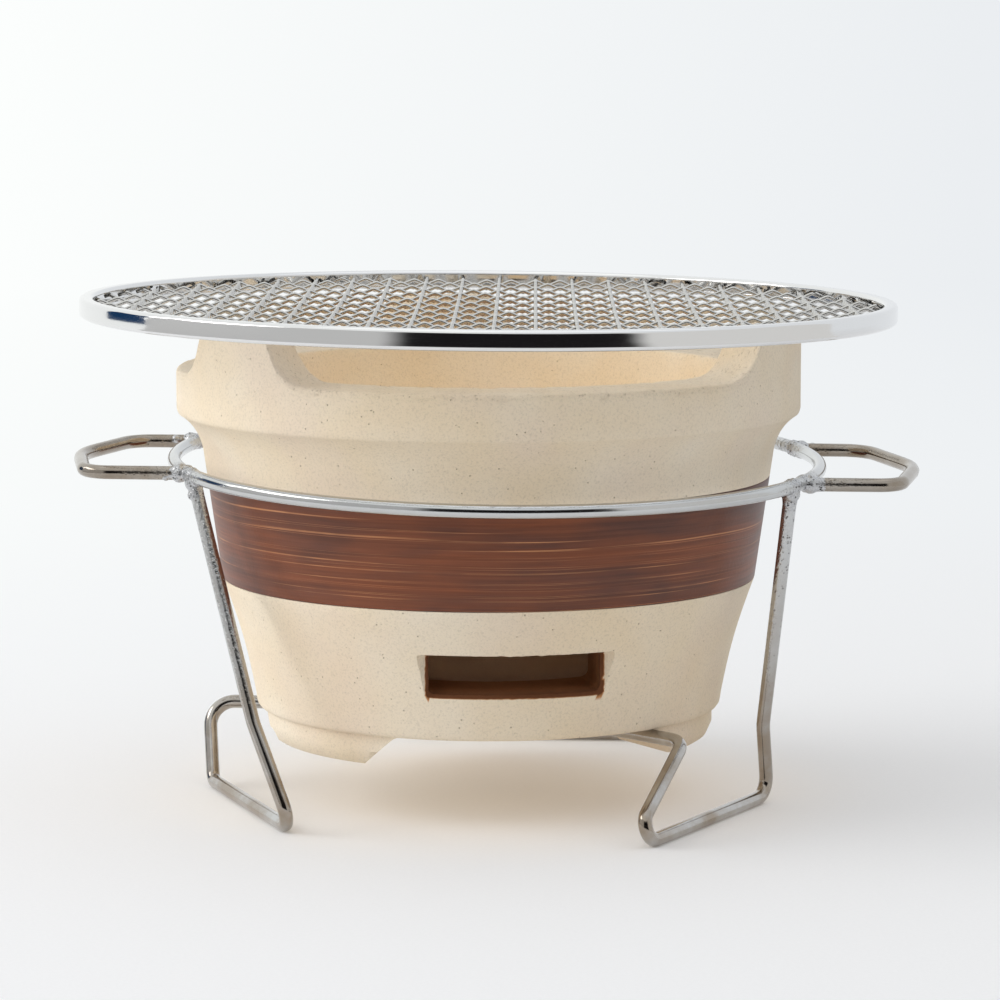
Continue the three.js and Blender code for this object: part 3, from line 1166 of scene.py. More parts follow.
    def mesh_points(self) -> tuple[np.ndarray, np.ndarray, tuple[int, int]]:
        """The bowl's points, row by row, from the middle of the underside to that of the ash floor.

        Returns:
            Points in millimetres, how cut each one is, and the rows at which the chamber's wall and
            the ledge start.
        """
        top_lift = self.lug_height - self.notch_floor
        top_out, top_in, top_rise, lug = self.columns(
            self.notches,
            top_lift,
            self.collar_radius,
            lambda h: self.inner_radius(self.notch_floor + h),
        )
        low_out, low_drop = self.foot_columns(self.foot_radius)
        low_in, in_drop = self.foot_columns(self.foot_inner)
        top_out, top_in = np.radians(top_out), np.radians(top_in)
        rows: list[tuple[np.ndarray, np.ndarray, np.ndarray, float]] = []
        ones = np.ones_like(top_out)

        def ring(radius: object, height: object, angle: np.ndarray, cut: float = 0.0) -> None:
            """Adds a row of points."""
            rows.append((radius * ones, height * ones, angle, cut))

        for radius in (8, 16, 24, 31, 36):
            ring(radius, 0.0, low_in)
        ring(self.foot_inner, 0.0, low_in, 0.4)
        for share in (0.15, 0.4, 0.7, 1.0):
            ring(self.foot_inner, -in_drop * share, low_in, 0.25)
        for share in np.linspace(0.05, 1.0, 20):
            radius = self.foot_inner + share * (self.foot_radius - self.foot_inner)
            start = self.foot_radius - self.foot_rounding
            rise = 0.0
            if radius > start:
                off = min(1.0, (radius - start) / self.foot_rounding)
                rise = self.foot_rounding * (1 - math.sqrt(max(0.0, 1 - off**2)))
            angle, drop = self.foot_columns(radius)
            ring(radius, -np.minimum(drop, self.foot_height - rise), angle, 0.25)
        for share in (0.75, 0.5, 0.28, 0.1):
            drop = np.minimum(low_drop, (self.foot_height - self.foot_rounding) * share)
            ring(self.foot_radius, -drop, low_out, 0.2)

        def wall(radius: object, height: object, cut: float = 0.0) -> None:
            """Adds a row whose columns swing from those of the feet to those of the lugs."""
            share = smooth_step(np.asarray(height, float), 2.0, 96.0)
            ring(radius, height, low_out + share * (top_out - low_out), cut)

        wall(self.foot_radius + 0.1, 0.0)
        wall(self.bottom_radius - 0.5, 0.05)
        wall(self.bottom_radius + 0.1, 0.3)
        wall(self.bottom_radius + 0.6, 1.0)
        wall(self.bottom_radius + 0.85, 2.2)
        groove_low = self.belly_height - self.gap
        groove_high = self.belly_height + self.band_width + self.gap
        for height in np.linspace(3.6, groove_low - 0.25, 15):
            wall(self.wall_radius(height), height)
        depth = self.band_depth + self.gap
        wall(self.wall_radius(groove_low) - 0.1, groove_low)
        wall(self.wall_radius(groove_low) - depth, groove_low)
        for height in np.linspace(groove_low, groove_high, 5)[1:]:
            wall(self.wall_radius(height) - depth, height)
        wall(self.wall_radius(groove_high) - 0.1, groove_high)
        for height in np.linspace(groove_high + 0.25, self.neck_height, 5):
            wall(self.wall_radius(height), height)
        near = np.array([self.neck_radius, self.neck_height])
        mid = np.array([self.neck_radius + 1.6, self.collar_bottom - 3.6])
        far = np.array([self.collar_radius, self.collar_bottom])
        for share in (0.12, 0.25, 0.4, 0.55, 0.7, 0.82, 0.9, 0.96):
            radius, height = (1 - share) ** 2 * near + 2 * share * (1 - share) * mid + share**2 * far
            wall(radius, height, 0.1)
        wall(self.collar_radius - 0.22, self.collar_bottom + 0.25, 0.1)
        wall(self.collar_radius, self.collar_bottom + 1.1, 0.1)

        def plan(angle: np.ndarray, radius: object) -> np.ndarray:
            """Places seen from above."""
            return np.stack([radius * np.sin(angle), -radius * np.cos(angle)], axis=1)

        tilt = math.tan(math.radians(self.lean))
        ends_out = plan(top_out, self.collar_radius)
        inner = self.inner_radius(self.notch_floor + top_rise)
        ends_in = plan(top_in, inner)

        def crown(spot: np.ndarray) -> np.ndarray:
            """Height of the slots' floors, the lugs' leaning tops and their worn ends.

            Args:
                spot: Places seen from above, one to a column.

            Returns:
                The height at each place.
            """
            limit = self.lug_height - tilt * spot[:, 0]
            width = np.linalg.norm(ends_out - ends_in, axis=1)
            drop = 0.9 * np.clip(1 - lug * 9, 0, 1) ** 2 * (lug > 0) * np.minimum(1, width / 18)
            return np.minimum(self.notch_floor + top_rise, limit) - drop

        edge_top = crown(ends_out)
        fillet = self.edge_fillet
        for share in (0.12, 0.26, 0.42, 0.58, 0.74, 0.88, 0.97):
            height = self.collar_bottom + 1.1 + share * (edge_top - fillet - self.collar_bottom - 1.1)
            ring(self.collar_radius, height, top_out, 0.1)
        loose: list[tuple[np.ndarray, np.ndarray, float]] = []
        inward = (ends_in - ends_out) / np.linalg.norm(ends_in - ends_out, axis=1)[:, None]
        for turn in (0, 22, 45, 68, 90):
            slip = fillet * (1 - math.cos(math.radians(turn)))
            lift = fillet * math.sin(math.radians(turn))
            loose.append((ends_out + inward * slip, edge_top - fillet + lift, 0.5 + turn / 180))
        for share in np.linspace(0.1, 0.9, 13):
            across = ends_in - ends_out - inward * (fillet + self.inner_fillet)
            spot = ends_out + inward * fillet + share * across
            loose.append((spot, crown(spot), 1.0))
        edge_in = crown(ends_in) - self.inner_fillet
        for turn in (90, 60, 30, 0):
            slip = self.inner_fillet * (1.0 - math.cos(math.radians(turn)))
            lift = self.inner_fillet * math.sin(math.radians(turn))
            loose.append((ends_in - inward * slip, edge_in + lift, 0.3 + turn / 150))
        first_loose = len(rows)
        for _ in loose:
            ring(0.0, 0.0, top_out)
        for share in np.linspace(0.03, 1.0, 24) ** 1.15:
            height = edge_in - share * (edge_in - self.ledge_height - 0.6)
            back = smooth_step(height, 60.0, 100.0)
            ring(self.inner_radius(height), height, low_out + back * (top_in - low_out), 0.15)
        steps = (
            (self.ledge_radius - 0.5, self.ledge_height),
            (self.ledge_radius - 4, self.ledge_height),
            (self.ash_radius + 0.8, self.ledge_height),
            (self.ash_radius, self.ledge_height - 0.8),
            (self.ash_radius, self.ledge_height - 8),
            (self.ash_radius, self.floor_height + 8),
            (self.ash_radius - 0.3, self.floor_height + 2),
            (self.ash_radius - 2, self.floor_height + 0.3),
            (self.ash_radius - 8, self.floor_height),
            (28, self.floor_height),
            (10, self.floor_height),
        )
        for radius, height in steps:
            ring(radius, height, low_out, 0.3)
        inner_rows = (first_loose + len(loose), len(rows) - len(steps))
        points = np.empty((len(rows), len(top_out), 3))
        cuts = np.empty((len(rows), len(top_out)))
        for i, (radius, height, angle, cut) in enumerate(rows):
            points[i, :, 0] = radius * np.sin(angle)
            points[i, :, 1] = -radius * np.cos(angle)
            points[i, :, 2] = height
            cuts[i] = cut
        for i, (spot, height, cut) in enumerate(loose):
            points[first_loose + i, :, :2] = spot
            points[first_loose + i, :, 2] = height
            cuts[first_loose + i] = cut
        return points, cuts, inner_rows

    def worn(self, points: np.ndarray, cuts: np.ndarray) -> np.ndarray:
        """Roughens the cut faces and nibbles their edges.

        Args:
            points: Points, row by row.
            cuts: How cut each one is.

        Returns:
            The moved points.
        """
        ahead = np.roll(points, -1, axis=1) - np.roll(points, 1, axis=1)
        down = np.gradient(points, axis=0)
        normals = np.cross(down, ahead)
        lengths = np.linalg.norm(normals, axis=2, keepdims=True)
        normals = normals / np.maximum(lengths, 1e-9)
        outward = np.sign(np.sum(normals[60, :, :2] * points[60, :, :2]))
        moved = points.copy()
        for i in range(points.shape[0]):
            for j in range(points.shape[1]):
                amount = cuts[i, j]
                if amount < 0.3 or points[i, j, 2] < self.ledge_height + 4 and amount < 0.55:
                    continue
                spot = Vector(points[i, j])
                coarse = noise.noise(spot * 0.42)
                fine = noise.noise(spot * 1.1 + Vector((9, 4, 2)))
                chip = max(0.0, noise.noise(spot * 0.3 + Vector((40, 7, 3))) - 0.22)
                edge = 1 - abs(2 * amount - 1.2) if amount < 0.95 else 0.15
                push = amount * (0.13 * coarse + 0.1 * fine) - 1.5 * chip * max(0.0, edge)
                moved[i, j] += normals[i, j] * outward * push
        return moved

    def vent_cutter(self) -> bpy.types.Object:
        """The tunnel of the air vent, with a chiselled mouth and uneven edges.

        Returns:
            The cutter, in the bowl's own frame.
        """
        mouth = self.wall_radius(self.vent_sill + self.vent_height / 2)
        half, low, high = self.vent_width / 2, self.vent_sill, self.vent_sill + self.vent_height
        stations = [(-self.ash_radius / 2, 0.0)]
        stations += [(deep - mouth, 0.0) for deep in (13, 7, 4.2, 3.4)]
        stations += [(3.0 - mouth - i * 0.5, i / 6) for i in range(self.vent_chipping)]
        middle = Vector((0, (low + high) / 2))
        points = []
        for along, open_share in stations:
            wide = self.vent_flare * open_share
            corners = [
                (-half - wide, low - wide),
                (half + wide, low - wide),
                (half + wide, high + 0.2 * wide),
                (-half - wide, high + 0.2 * wide),
            ]
            outline = rounded(corners, (1.6 + 0.6 * wide, 2.4 + 0.6 * wide, 1.0, 1.0), 6)
            for i, point in enumerate(outline):
                ahead = Vector(outline[(i + 1) % len(outline)])
                steps = {6: 46, 13: 9, 20: 46, 27: 9}.get(i, 1)
                for k in range(steps):
                    across, height = Vector(point).lerp(ahead, k / steps)
                    spot = Vector((across, along, height))
                    wild = noise.noise(spot * 0.55) * 0.22 + noise.noise(spot * 1.4) * 0.13
                    wild *= 0.5 + min(1.0, open_share) * 1.6
                    away = (Vector((across, height)) - middle).normalized() * wild
                    follow = mouth - math.sqrt(mouth**2 - across**2) if along < -mouth + 9 else 0.0
                    points.append((across + away.x, along + follow, height + away.y))
        count = len(points) // len(stations)
        faces = grid(len(stations), count)
        for first, along in ((0, stations[0][0]), (len(points) - count, stations[-1][0])):
            points.append((0.0, along, middle.y))
            faces += [[len(points) - 1, first + i, first + (i + 1) % count] for i in range(count)]
        turn = Matrix.Rotation(math.radians(self.vent_angle), 3, "Z")
        turned = [turn @ Vector(p) for p in points]
        return make_object("vent_cutter", turned, faces, bpy.data.materials.new("cut"))

    def paint_vent_shade(self, mesh: bpy.types.Mesh) -> None:
        """Paints shade on the walls of the vent's tunnel behind its chiselled mouth, deep brown a little
        way in and lighter further in.

        Args:
            mesh: The bowl, in metres, before it is put in place.
        """
        mouth = self.wall_radius(self.vent_sill + self.vent_height / 2)
        back = Matrix.Rotation(math.radians(-self.vent_angle), 3, "Z")
        low, high = self.vent_sill - self.vent_shade_play, self.vent_sill + self.vent_height + self.vent_shade_play
        deepest = mouth - self.ash_radius + self.vent_shade_reach
        near, far = self.vent_shade_fade
        for vertex, entry in zip(mesh.vertices, mesh.attributes["dark_tone"].data):
            spot = back @ (vertex.co / MM)
            beside = abs(spot.x) < self.vent_width / 2 + self.vent_shade_play
            deep = spot.y + math.sqrt(max(0.0, mouth**2 - spot.x**2))
            if beside and low < spot.z < high and spot.y < 0 and self.vent_shade_start < deep < deepest:
                faded = min(1.0, max(0.0, (deep - near) / (far - near)))
                full = min(2.0, (deep - self.vent_shade_start) * self.vent_shade_rise)
                entry.value = full - self.vent_shade_faded * faded

    def build_bowl(self, material: bpy.types.Material) -> bpy.types.Object:
        """Makes the bowl.

        Args:
            material: What it is made of.

        Returns:
            The bowl, in place.
        """
        points, cuts, (chamber, ash) = self.mesh_points()
        points = self.worn(points, cuts)
        rows, columns = cuts.shape
        flat = points.reshape(-1, 3).tolist() + [[0, 0, 0], [0, 0, self.floor_height]]
        low, last = rows * columns, (rows - 1) * columns
        faces = grid(rows, columns)
        for j in range(columns):
            k = (j + 1) % columns
            faces += [[low, k, j], [low + 1, last + j, last + k]]
        mesh = bpy.data.meshes.new("bowl_body")
        mesh.from_pydata([[c * MM for c in p] for p in flat], [], faces)
        # Painted shade: a faint warm one on the chamber's wall and a stronger one in the ash pit.
        dark_tone = np.zeros(cuts.shape)
        dark_tone[chamber:ash] = self.chamber_painted_shade
        dark_tone[ash:] = self.ash_painted_shade
        for name, values, ends in (("cut", cuts, [0.0, 0.3]), ("dark_tone", dark_tone, [0.0, self.ash_painted_shade])):
            layer = mesh.attributes.new(name, "FLOAT", "POINT")
            layer.data.foreach_set("value", values.reshape(-1).tolist() + ends)
        work = finish_mesh("bowl_work", mesh, material, 38)
        cutter = self.vent_cutter()
        cut = work.modifiers.new("vent", "BOOLEAN")
        cut.operation = "DIFFERENCE"
        cut.solver = "EXACT"
        cut.object = cutter
        mesh = plain_mesh(work, "bowl_body")
        bpy.data.objects.remove(cutter)
        self.paint_vent_shade(mesh)
        mesh.transform(Matrix.Translation(Vector((self.off_centre, 0, self.underside)) * MM))
        made = finish_mesh("bowl_body", mesh, material, 38)
        log.info("bowl: %d corners", len(made.data.vertices))
        return made

    def build_band(self, material: bpy.types.Material) -> bpy.types.Object:
        """Makes the band of film in its groove.

        Args:
            material: What it is made of.

        Returns:
            The band, in place.
        """
        low, high = self.belly_height, self.belly_height + self.band_width
        inside = [(self.wall_radius(h) - self.band_depth, h) for h in (high, low)]
        outside = [(self.wall_radius(h), h) for h in (low, (low + high) / 2, high)]
        profile = rounded(inside + outside, (0, 0, 0.25, 0, 0.25), 3)
        raised = [(r, h + self.underside) for r, h in profile]
        points, faces = lathe(raised, 288, self.off_centre)
        made = make_object("woodgrain_film_band", points, faces, material, 50)
        log.info("band: %d corners", len(made.data.vertices))
        return made

    def build_plate(self, material: bpy.types.Material) -> bpy.types.Object:
        """Makes the pierced plate that the charcoal lies on.

        Args:
            material: What it is made of.

        Returns:
            The plate, in place.
        """
        low = self.underside + self.ledge_height + 0.3
        high = low + self.plate_thickness
        corners = [(0.0, low), (self.plate_radius, low), (self.plate_radius, high), (0.0, high)]
        points, faces = lathe(rounded(corners, (0, 0.8, 1.2, 0), 4), 144)
        disc = make_object("fire_plate_body", points, faces, material, 45)
        tree = TreeMaker("fire_plate_holes")
        body = tree.size("Plate", None, "NodeSocketGeometry")
        hole = tree.size("Hole Diameter", self.plate_hole * MM)
        step = tree.size("Circle Step", self.plate_step * MM)
        deep = tree.size("Thickness", self.plate_thickness * MM)
        middle = tree.size("Middle Height", (low + high) / 2 * MM)
        sizes = {"Radius": tree.product(hole, 0.5), "Depth": tree.product(deep, 1.6)}
        bore = tree.node("GeometryNodeMeshCylinder", {"Vertices": 28, **sizes}).outputs["Mesh"]
        join = tree.node("GeometryNodeJoinGeometry")
        for count, row in ((1, 0.0), (6, 1.0), (12, 2.0)):
            if row:
                sizes = {"Vertices": count, "Radius": tree.product(step, row)}
                line = tree.node("GeometryNodeMeshCircle", sizes).outputs[0]
            else:
                line = tree.node("GeometryNodeMeshLine", {"Count": count}).outputs[0]
            placed = tree.node("GeometryNodeInstanceOnPoints", {"Points": line, "Instance": bore})
            tree.give(join.inputs[0], placed.outputs[0])
        real = tree.node("GeometryNodeRealizeInstances", {0: join.outputs[0]}).outputs[0]
        lift = tree.vector(0.0, 0.0, middle)
        raised = tree.node("GeometryNodeTransform", {"Geometry": real, "Translation": lift})
        cut = tree.node("GeometryNodeMeshBoolean", {"Mesh 1": body}, operation="DIFFERENCE")
        tree.give(cut.inputs[1], raised.outputs[0])
        tree.dressed(cut.outputs[0], material)
        bpy.context.scene.collection.objects.unlink(disc)
        mesh = tree.apply(disc)
        mesh.transform(Matrix.Translation((self.off_centre * MM, 0, 0)))
        made = finish_mesh("fire_plate_pierced", mesh, material, 40)
        log.info("fire plate: %d corners", len(made.data.vertices))
        return made

    def build(self) -> None:
        """Makes the bowl, the band and the fire plate and puts them on their bodies."""
        bowl = self.build_bowl(DiatomiteFinish().build())
        seat(bowl, Body.BOWL, Slot.DIATOMITE, "bowl")
        band = self.build_band(WoodgrainFinish().build())
        seat(band, Body.BOWL, Slot.WOODGRAIN, "woodgrain_band")
        plate = self.build_plate(FiredClayFinish().build())
        seat(plate, Body.FIRE_PLATE, Slot.FIRED_CLAY, "fire_plate")


# ---- the grill net ----


@dataclass
class GrillNet:
    """A round net of crimped wires in a polished rim of folded sheet."""

    off_centre: float = -2.5
    height: float = 144.0
    diameter: float = 240.0
    rim_height: float = 5.8
    rim_depth: float = 4.2
    rim_sheet: float = 0.6
    rim_corner: float = 1.3
    lip: float = 1.62
    wire: float = 1.1
    pitch: float = 11.65
    crimps: int = 3
    crimp_height: float = 0.75
    tight: float = 0.98
    shift: float = 2.2
    turn: float = 0.65
    sag: float = 1.5
    lean: float = 0.55
    rows: int = 9
    crimp_steps: int = 8
    sides: int = 8

    def frame(self) -> Matrix:
        """Where the net lies: its lean, and its place on the lugs."""
        lean = Matrix.Rotation(math.radians(self.lean), 4, "Y")
        return Matrix.Translation(Vector((self.off_centre, 0, self.height)) * MM) @ lean

    def build_rim(self, material: bpy.types.Material) -> bpy.types.Object:
        """Makes the folded rim.

        Args:
            material: What it is made of.

        Returns:
            The rim, in place.
        """
        outer, inner = self.diameter / 2, self.diameter / 2 - self.rim_depth
        top, sheet, corner = self.rim_height / 2, self.rim_sheet, self.rim_corner
        outside = [(inner, self.lip), (inner, top), (outer, top)]
        inside = [(outer - sheet, top - sheet), (inner + sheet, top - sheet), (inner + sheet, self.lip)]
        corners = outside + [(radius, -height) for radius, height in reversed(outside)]
        corners += [(radius, -height) for radius, height in reversed(inside)] + inside
        small, end = corner - sheet, 0.25
        radii = (end, *[corner] * 4, end, end, *[small] * 4, end)
        points, faces = lathe(rounded(corners, radii, 6), 320)
        made = make_object("net_rim_folded", points, faces, material, 60)
        made.data.transform(self.frame())
        log.info("rim: %d corners", len(made.data.vertices))
        return made

    def build_wires(self, way: Across, material: bpy.types.Material) -> bpy.types.Object:
        """Makes one set of parallel crimped wires.

        Args:
            way: Which way they run.
            material: What they are made of.

        Returns:
            The wires, in place.
        """
        deep = way is Across.FRONT_TO_BACK
        own, cross = (self.shift, 0.0) if deep else (0.0, self.shift)
        side = -1.0 if deep else 1.0
        step = self.pitch / self.crimps / self.crimp_steps
        reach = self.diameter / 2 - self.rim_sheet - 1.2
        each = math.ceil(reach / step) + self.crimp_steps
        tree = TreeMaker(f"net_wires_{way.value}")
        wires = tree.size("Wires", 2 * self.rows + 1, "NodeSocketInt")
        pitch = tree.size("Pitch", self.pitch * MM)
        first = tree.size("First Wire", side * (own - self.rows * self.pitch) * MM)
        apart = tree.size("Wire Spacing", side * self.pitch * MM)
        crossing = tree.size("Crossing Shift", cross * MM)
        count = tree.size("Points Along", 2 * each + 1, "NodeSocketInt")
        start = tree.size("First Point", (cross - each * step) * MM)
        stride = tree.size("Step", step * MM)
        crimps = tree.size("Crimps to a Pitch", float(self.crimps))
        high = tree.size("Crimp Height", side * self.crimp_height * MM)
        across = tree.size("Wire Diameter", self.wire * MM)
        around = tree.size("Sides", self.sides, "NodeSocketInt")
        edge = tree.size("Reach", reach * MM)
        hang = tree.size("Sag", self.sag * MM)
        along = tree.node(
            "GeometryNodeMeshLine",
            {"Count": count, "Start Location": tree.vector(start), "Offset": tree.vector(stride)},
        )
        begin, onward = tree.vector(0.0, first), tree.vector(0.0, apart)
        places = tree.node(
            "GeometryNodeMeshLine", {"Count": wires, "Start Location": begin, "Offset": onward}
        )
        placed = tree.node(
            "GeometryNodeInstanceOnPoints",
            {"Points": places.outputs[0], "Instance": along.outputs[0]},
        )
        index = tree.node("GeometryNodeInputIndex").outputs[0]
        marked = tree.node(
            "GeometryNodeStoreNamedAttribute",
            {"Geometry": placed.outputs[0], "Name": "row", "Value": index},
            data_type="FLOAT",
            domain="INSTANCE",
        )
        real = tree.node("GeometryNodeRealizeInstances", {0: marked.outputs[0]}).outputs[0]
        row = tree.node(
            "GeometryNodeInputNamedAttribute", {"Name": "row"}, data_type="FLOAT"
        ).outputs[0]
        spot = tree.node("GeometryNodeInputPosition").outputs[0]
        parts = tree.parts(spot)
        cells = tree.maths("DIVIDE", tree.maths("SUBTRACT", parts[0], crossing), pitch)
        swing = tree.product(cells, crimps)
        wave = tree.maths("ADD", swing, tree.maths("ADD", row, float(self.rows)))
        round_wave = tree.maths("COSINE", tree.product(wave, math.pi))
        zigzag = tree.maths("ARCSINE", tree.product(round_wave, self.tight))
        unit = tree.maths("DIVIDE", zigzag, math.asin(self.tight))
        far = tree.length(tree.vector(parts[0], parts[1]))
        ratio = tree.maths("DIVIDE", far, edge)
        slack = tree.product(tree.maths("SUBTRACT", 1.0, tree.product(ratio, ratio)), hang)
        lift = tree.vector(0.0, 0.0, tree.maths("SUBTRACT", tree.product(unit, high), slack))
        moved = tree.node("GeometryNodeSetPosition", {"Geometry": real, "Offset": lift})
        outside = tree.node(
            "FunctionNodeCompare",
            {"A": far, "B": edge},
            data_type="FLOAT",
            operation="GREATER_THAN",
        )
        trimmed = tree.node(
            "GeometryNodeDeleteGeometry",
            {"Geometry": moved.outputs[0], "Selection": outside.outputs[0]},
            domain="POINT",
        )
        lines = tree.node("GeometryNodeMeshToCurve", {"Mesh": trimmed.outputs[0]}).outputs[0]
        tree.dressed(tree.swept(lines, across, around), material)
        host = bpy.data.objects.new(tree.tree.name, bpy.data.meshes.new(tree.tree.name))
        mesh = tree.apply(host)
        if deep:
            mesh.transform(Matrix.Rotation(math.radians(90), 4, "Z"))
        mesh.transform(self.frame() @ Matrix.Rotation(math.radians(-self.turn), 4, "Z"))
        made = finish_mesh(f"net_wires_{way.value}", mesh, material, 60)
        log.info("%s: %d corners", made.name, len(made.data.vertices))
        return made

    def build(self) -> None:
        """Makes the rim and the two sets of wires and puts them on the net's body."""
        rim = self.build_rim(PolishedFinish().build())
        seat(rim, Body.NET, Slot.POLISHED, "net_rim")
        tones = linear(204, 203, 200), linear(164, 158, 150)
        steel = DrawnWireFinish("net_wire", *tones, 0.08, 0.06).build()
        for way in Across:
            wires = self.build_wires(way, steel)
            nodes = [f"net_wire_{way.value}_{i + 1:02d}" for i in range(2 * self.rows + 1)]
            seat(wires, Body.NET, Slot.NET_WIRE, *nodes)


# ---- the wire carrier ----


@dataclass(frozen=True)
class Handle:
    """One handle. Lengths run from the front to the back."""

    name: str
    side: float
    lift: float
    front: float
    front_short: float
    bulge: float
    back: float
    back_short: float


@dataclass(frozen=True)
class Leg:
    """One leg: its angle at the ring, then each corner's radius, angle and, at the knee, height."""

    name: str
    ring: float
    knee: tuple[float, float, float]
    heel: tuple[float, float]
    toe: tuple[float, float]
    shelf: tuple[float, float]


@dataclass
class Carrier:
    """The ring, two handles and three legs, bent from wire and welded."""

    wire: float = 4.0
    ring_diameter: float = 194.4
    ring_height: float = 98.8
    lean_forward: float = 2.1
    lean_right: float = 0.7
    shelf_height: float = 24.2
    bar_end: float = 0.6
    leg_bends: tuple[float, ...] = (20, 5, 4, 7)
    reach: float = 122.2
    handle_bends: tuple[float, ...] = (8, 30, 10)
    bulge_rounding: float = 1.3
    seam_angle: float = 112.0
    seam_gap: float = 0.1
    seam_depth: float = 0.7
    weld_grain: float = 0.32
    weld_reach: float = 6.5
    swelling: float = 0.42
    thinning: float = 0.2
    handles: tuple[Handle, ...] = (
        Handle("handle_left", -1, 0.0, -33.5, 3.6, 0.0, 29.5, 12.2),
        Handle("handle_right", 1, -0.5, -37.2, 6.7, -4.0, 30.5, 10.4),
    )
    legs: tuple[Leg, ...] = (
        Leg("leg_left", -66.6, (91.7, -49, 30.9), (91.1, -39.4), (84.9, -91.2), (87.6, -98.5)),
        Leg("leg_right", 61.7, (81.8, 71.5, 23.9), (81.9, 75.9), (104.8, 19.9), (76.4, 43.9)),
        Leg("leg_rear", 177.5, (86.8, 191.2, 27.4), (86.5, 198), (94.9, 144.4), (82, 152.7)),
    )
    paths: dict[str, list[Vector]] = field(default_factory=dict)

    def __post_init__(self) -> None:
        """Finds the ring's radius and its frame."""
        self.ring_radius = (self.ring_diameter - self.wire) / 2
        forward = Matrix.Rotation(math.radians(self.lean_forward), 4, "X")
        right = Matrix.Rotation(math.radians(self.lean_right), 4, "Y")
        self.ring_frame = Matrix.Translation((0, 0, self.ring_height)) @ (forward @ right)

    def on_ring(self, angle: float) -> Vector:
        """A place on the ring's centre line, at an angle round the stove."""
        return self.ring_frame @ place_round(self.ring_radius, angle, 0.0)

    def handle_path(self, handle: Handle) -> list[Vector]:
        """The centre line of a handle, from the ring's front to its back.

        Args:
            handle: The handle.

        Returns:
            Points along it.
        """
        corners = [
            (math.sqrt(self.ring_radius**2 - handle.front**2), handle.front),
            (self.reach - handle.front_short, handle.front),
            (self.reach + self.bulge_rounding, handle.bulge),
            (self.reach - handle.back_short, handle.back),
            (math.sqrt(self.ring_radius**2 - handle.back**2), handle.back),
        ]
        raised = [
            self.ring_frame @ Vector((handle.side * out, along, handle.lift)) for out, along in corners
        ]
        return bent_path(raised, self.handle_bends)

    def leg_path(self, leg: Leg) -> list[Vector]:
        """The centre line of a leg, from the ring to the middle.

        Args:
            leg: The leg.

        Returns:
            Points along it.
        """
        half = self.wire / 2
        corners = [
            self.on_ring(leg.ring),
            place_round(*leg.knee),
            place_round(*leg.heel, half),
            place_round(*leg.toe, half),
            place_round(*leg.shelf, self.shelf_height),
            place_round(self.bar_end, leg.shelf[1], self.shelf_height),
        ]
        return bent_path(corners, self.leg_bends)

    def ring_path(self) -> list[Vector]:
        """The ring's centre line, from one side of its butt seam to the other."""
        first, sweep = self.seam_angle + self.seam_gap, 360 - 2 * self.seam_gap
        return [self.on_ring(first + sweep * i / 200) for i in range(201)]

    def weld(
        self,
        name: str,
        runs: Sequence[tuple[Sequence[Vector], float]],
        drops: Sequence[tuple[Vector, float]],
        material: bpy.types.Material,
        seed: int,
    ) -> bpy.types.Object:
        """A rough weld: short swollen lengths of wire and drops, melted into one skin.

        Args:
            name: Name of the piece.
            runs: Centre line and reach of each wire near the joint, from the joint outwards.
            drops: Centre and radius of each drop.
            material: What it is made of.
            seed: Start of the roughness pattern.

        Returns:
            The weld, in place.
        """
        work = bmesh.new()
        for line, reach in runs:
            self.swell(work, line, reach)
        for centre, radius in drops:
            bmesh.ops.create_icosphere(
                work, subdivisions=3, radius=radius * MM, matrix=Matrix.Translation(centre * MM)
            )
        mesh = bpy.data.meshes.new(name)
        work.to_mesh(mesh)
        work.free()
        blob = bpy.data.objects.new(name + "_work", mesh)
        bpy.context.scene.collection.objects.link(blob)
        skin = blob.modifiers.new("melt", "REMESH")
        skin.mode = "VOXEL"
        skin.voxel_size = self.weld_grain * MM
        smooth = blob.modifiers.new("flow", "SMOOTH")
        smooth.iterations = 4
        smooth.factor = 0.5
        mesh = plain_mesh(blob, name)
        offset = Vector((seed * 17.3, seed * 5.1, seed * 9.7))
        joint = runs[0][0][0]
        for vertex in mesh.vertices:
            spot = vertex.co / MM
            near = math.exp(-((spot - joint).length / self.weld_reach) ** 2)
            lump = noise.noise(spot * 0.7 + offset) * 0.28 + noise.noise(spot * 1.9 + offset) * 0.14
            vertex.co += vertex.normal * (lump * near * MM)
        return finish_mesh(name, mesh, material, 80)

    def swell(self, work: bmesh.types.BMesh, line: Sequence[Vector], reach: float) -> None:
        """Adds a tube that is thickest at its start and thins into the wire.

        Args:
            work: Mesh to add it to.
            line: Centre line, from the joint outwards.
            reach: Length of the tube.
        """
        spots, travelled = [line[0]], 0.0
        here = line[0]
        for ahead in line[1:]:
            gap = (ahead - here).length
            while travelled + 1e-6 < reach and gap > 1.0:
                here = here + (ahead - here).normalized()
                travelled += 1.0
                gap -= 1.0
                spots.append(here)
            if travelled >= reach:
                break
        rings = []
        sides = 16
        for i, spot in enumerate(spots):
            tangent = (spots[min(i + 1, len(spots) - 1)] - spots[max(i - 1, 0)]).normalized()
            across = tangent.cross(Vector((0.3, 0.2, 0.93))).normalized()
            up = tangent.cross(across)
            share = i / (len(spots) - 1)
            radius = self.wire / 2 + self.swelling * (1 - share) ** 1.6 - self.thinning * share
            turns = [2 * math.pi * k / sides for k in range(sides)]
            outs = [across * math.cos(a) + up * math.sin(a) for a in turns]
            rings.append([work.verts.new((spot + out * radius) * MM) for out in outs])
        for first, second in zip(rings, rings[1:]):
            for k in range(sides):
                work.faces.new([first[k], first[(k + 1) % sides], second[(k + 1) % sides], second[k]])
        work.faces.new(list(reversed(rings[0])))
        work.faces.new(rings[-1])

    def build_welds(self, material: bpy.types.Material) -> list[bpy.types.Object]:
        """Makes the welds where the legs and the handles meet the ring.

        Args:
            material: What they are made of.

        Returns:
            The welds.
        """

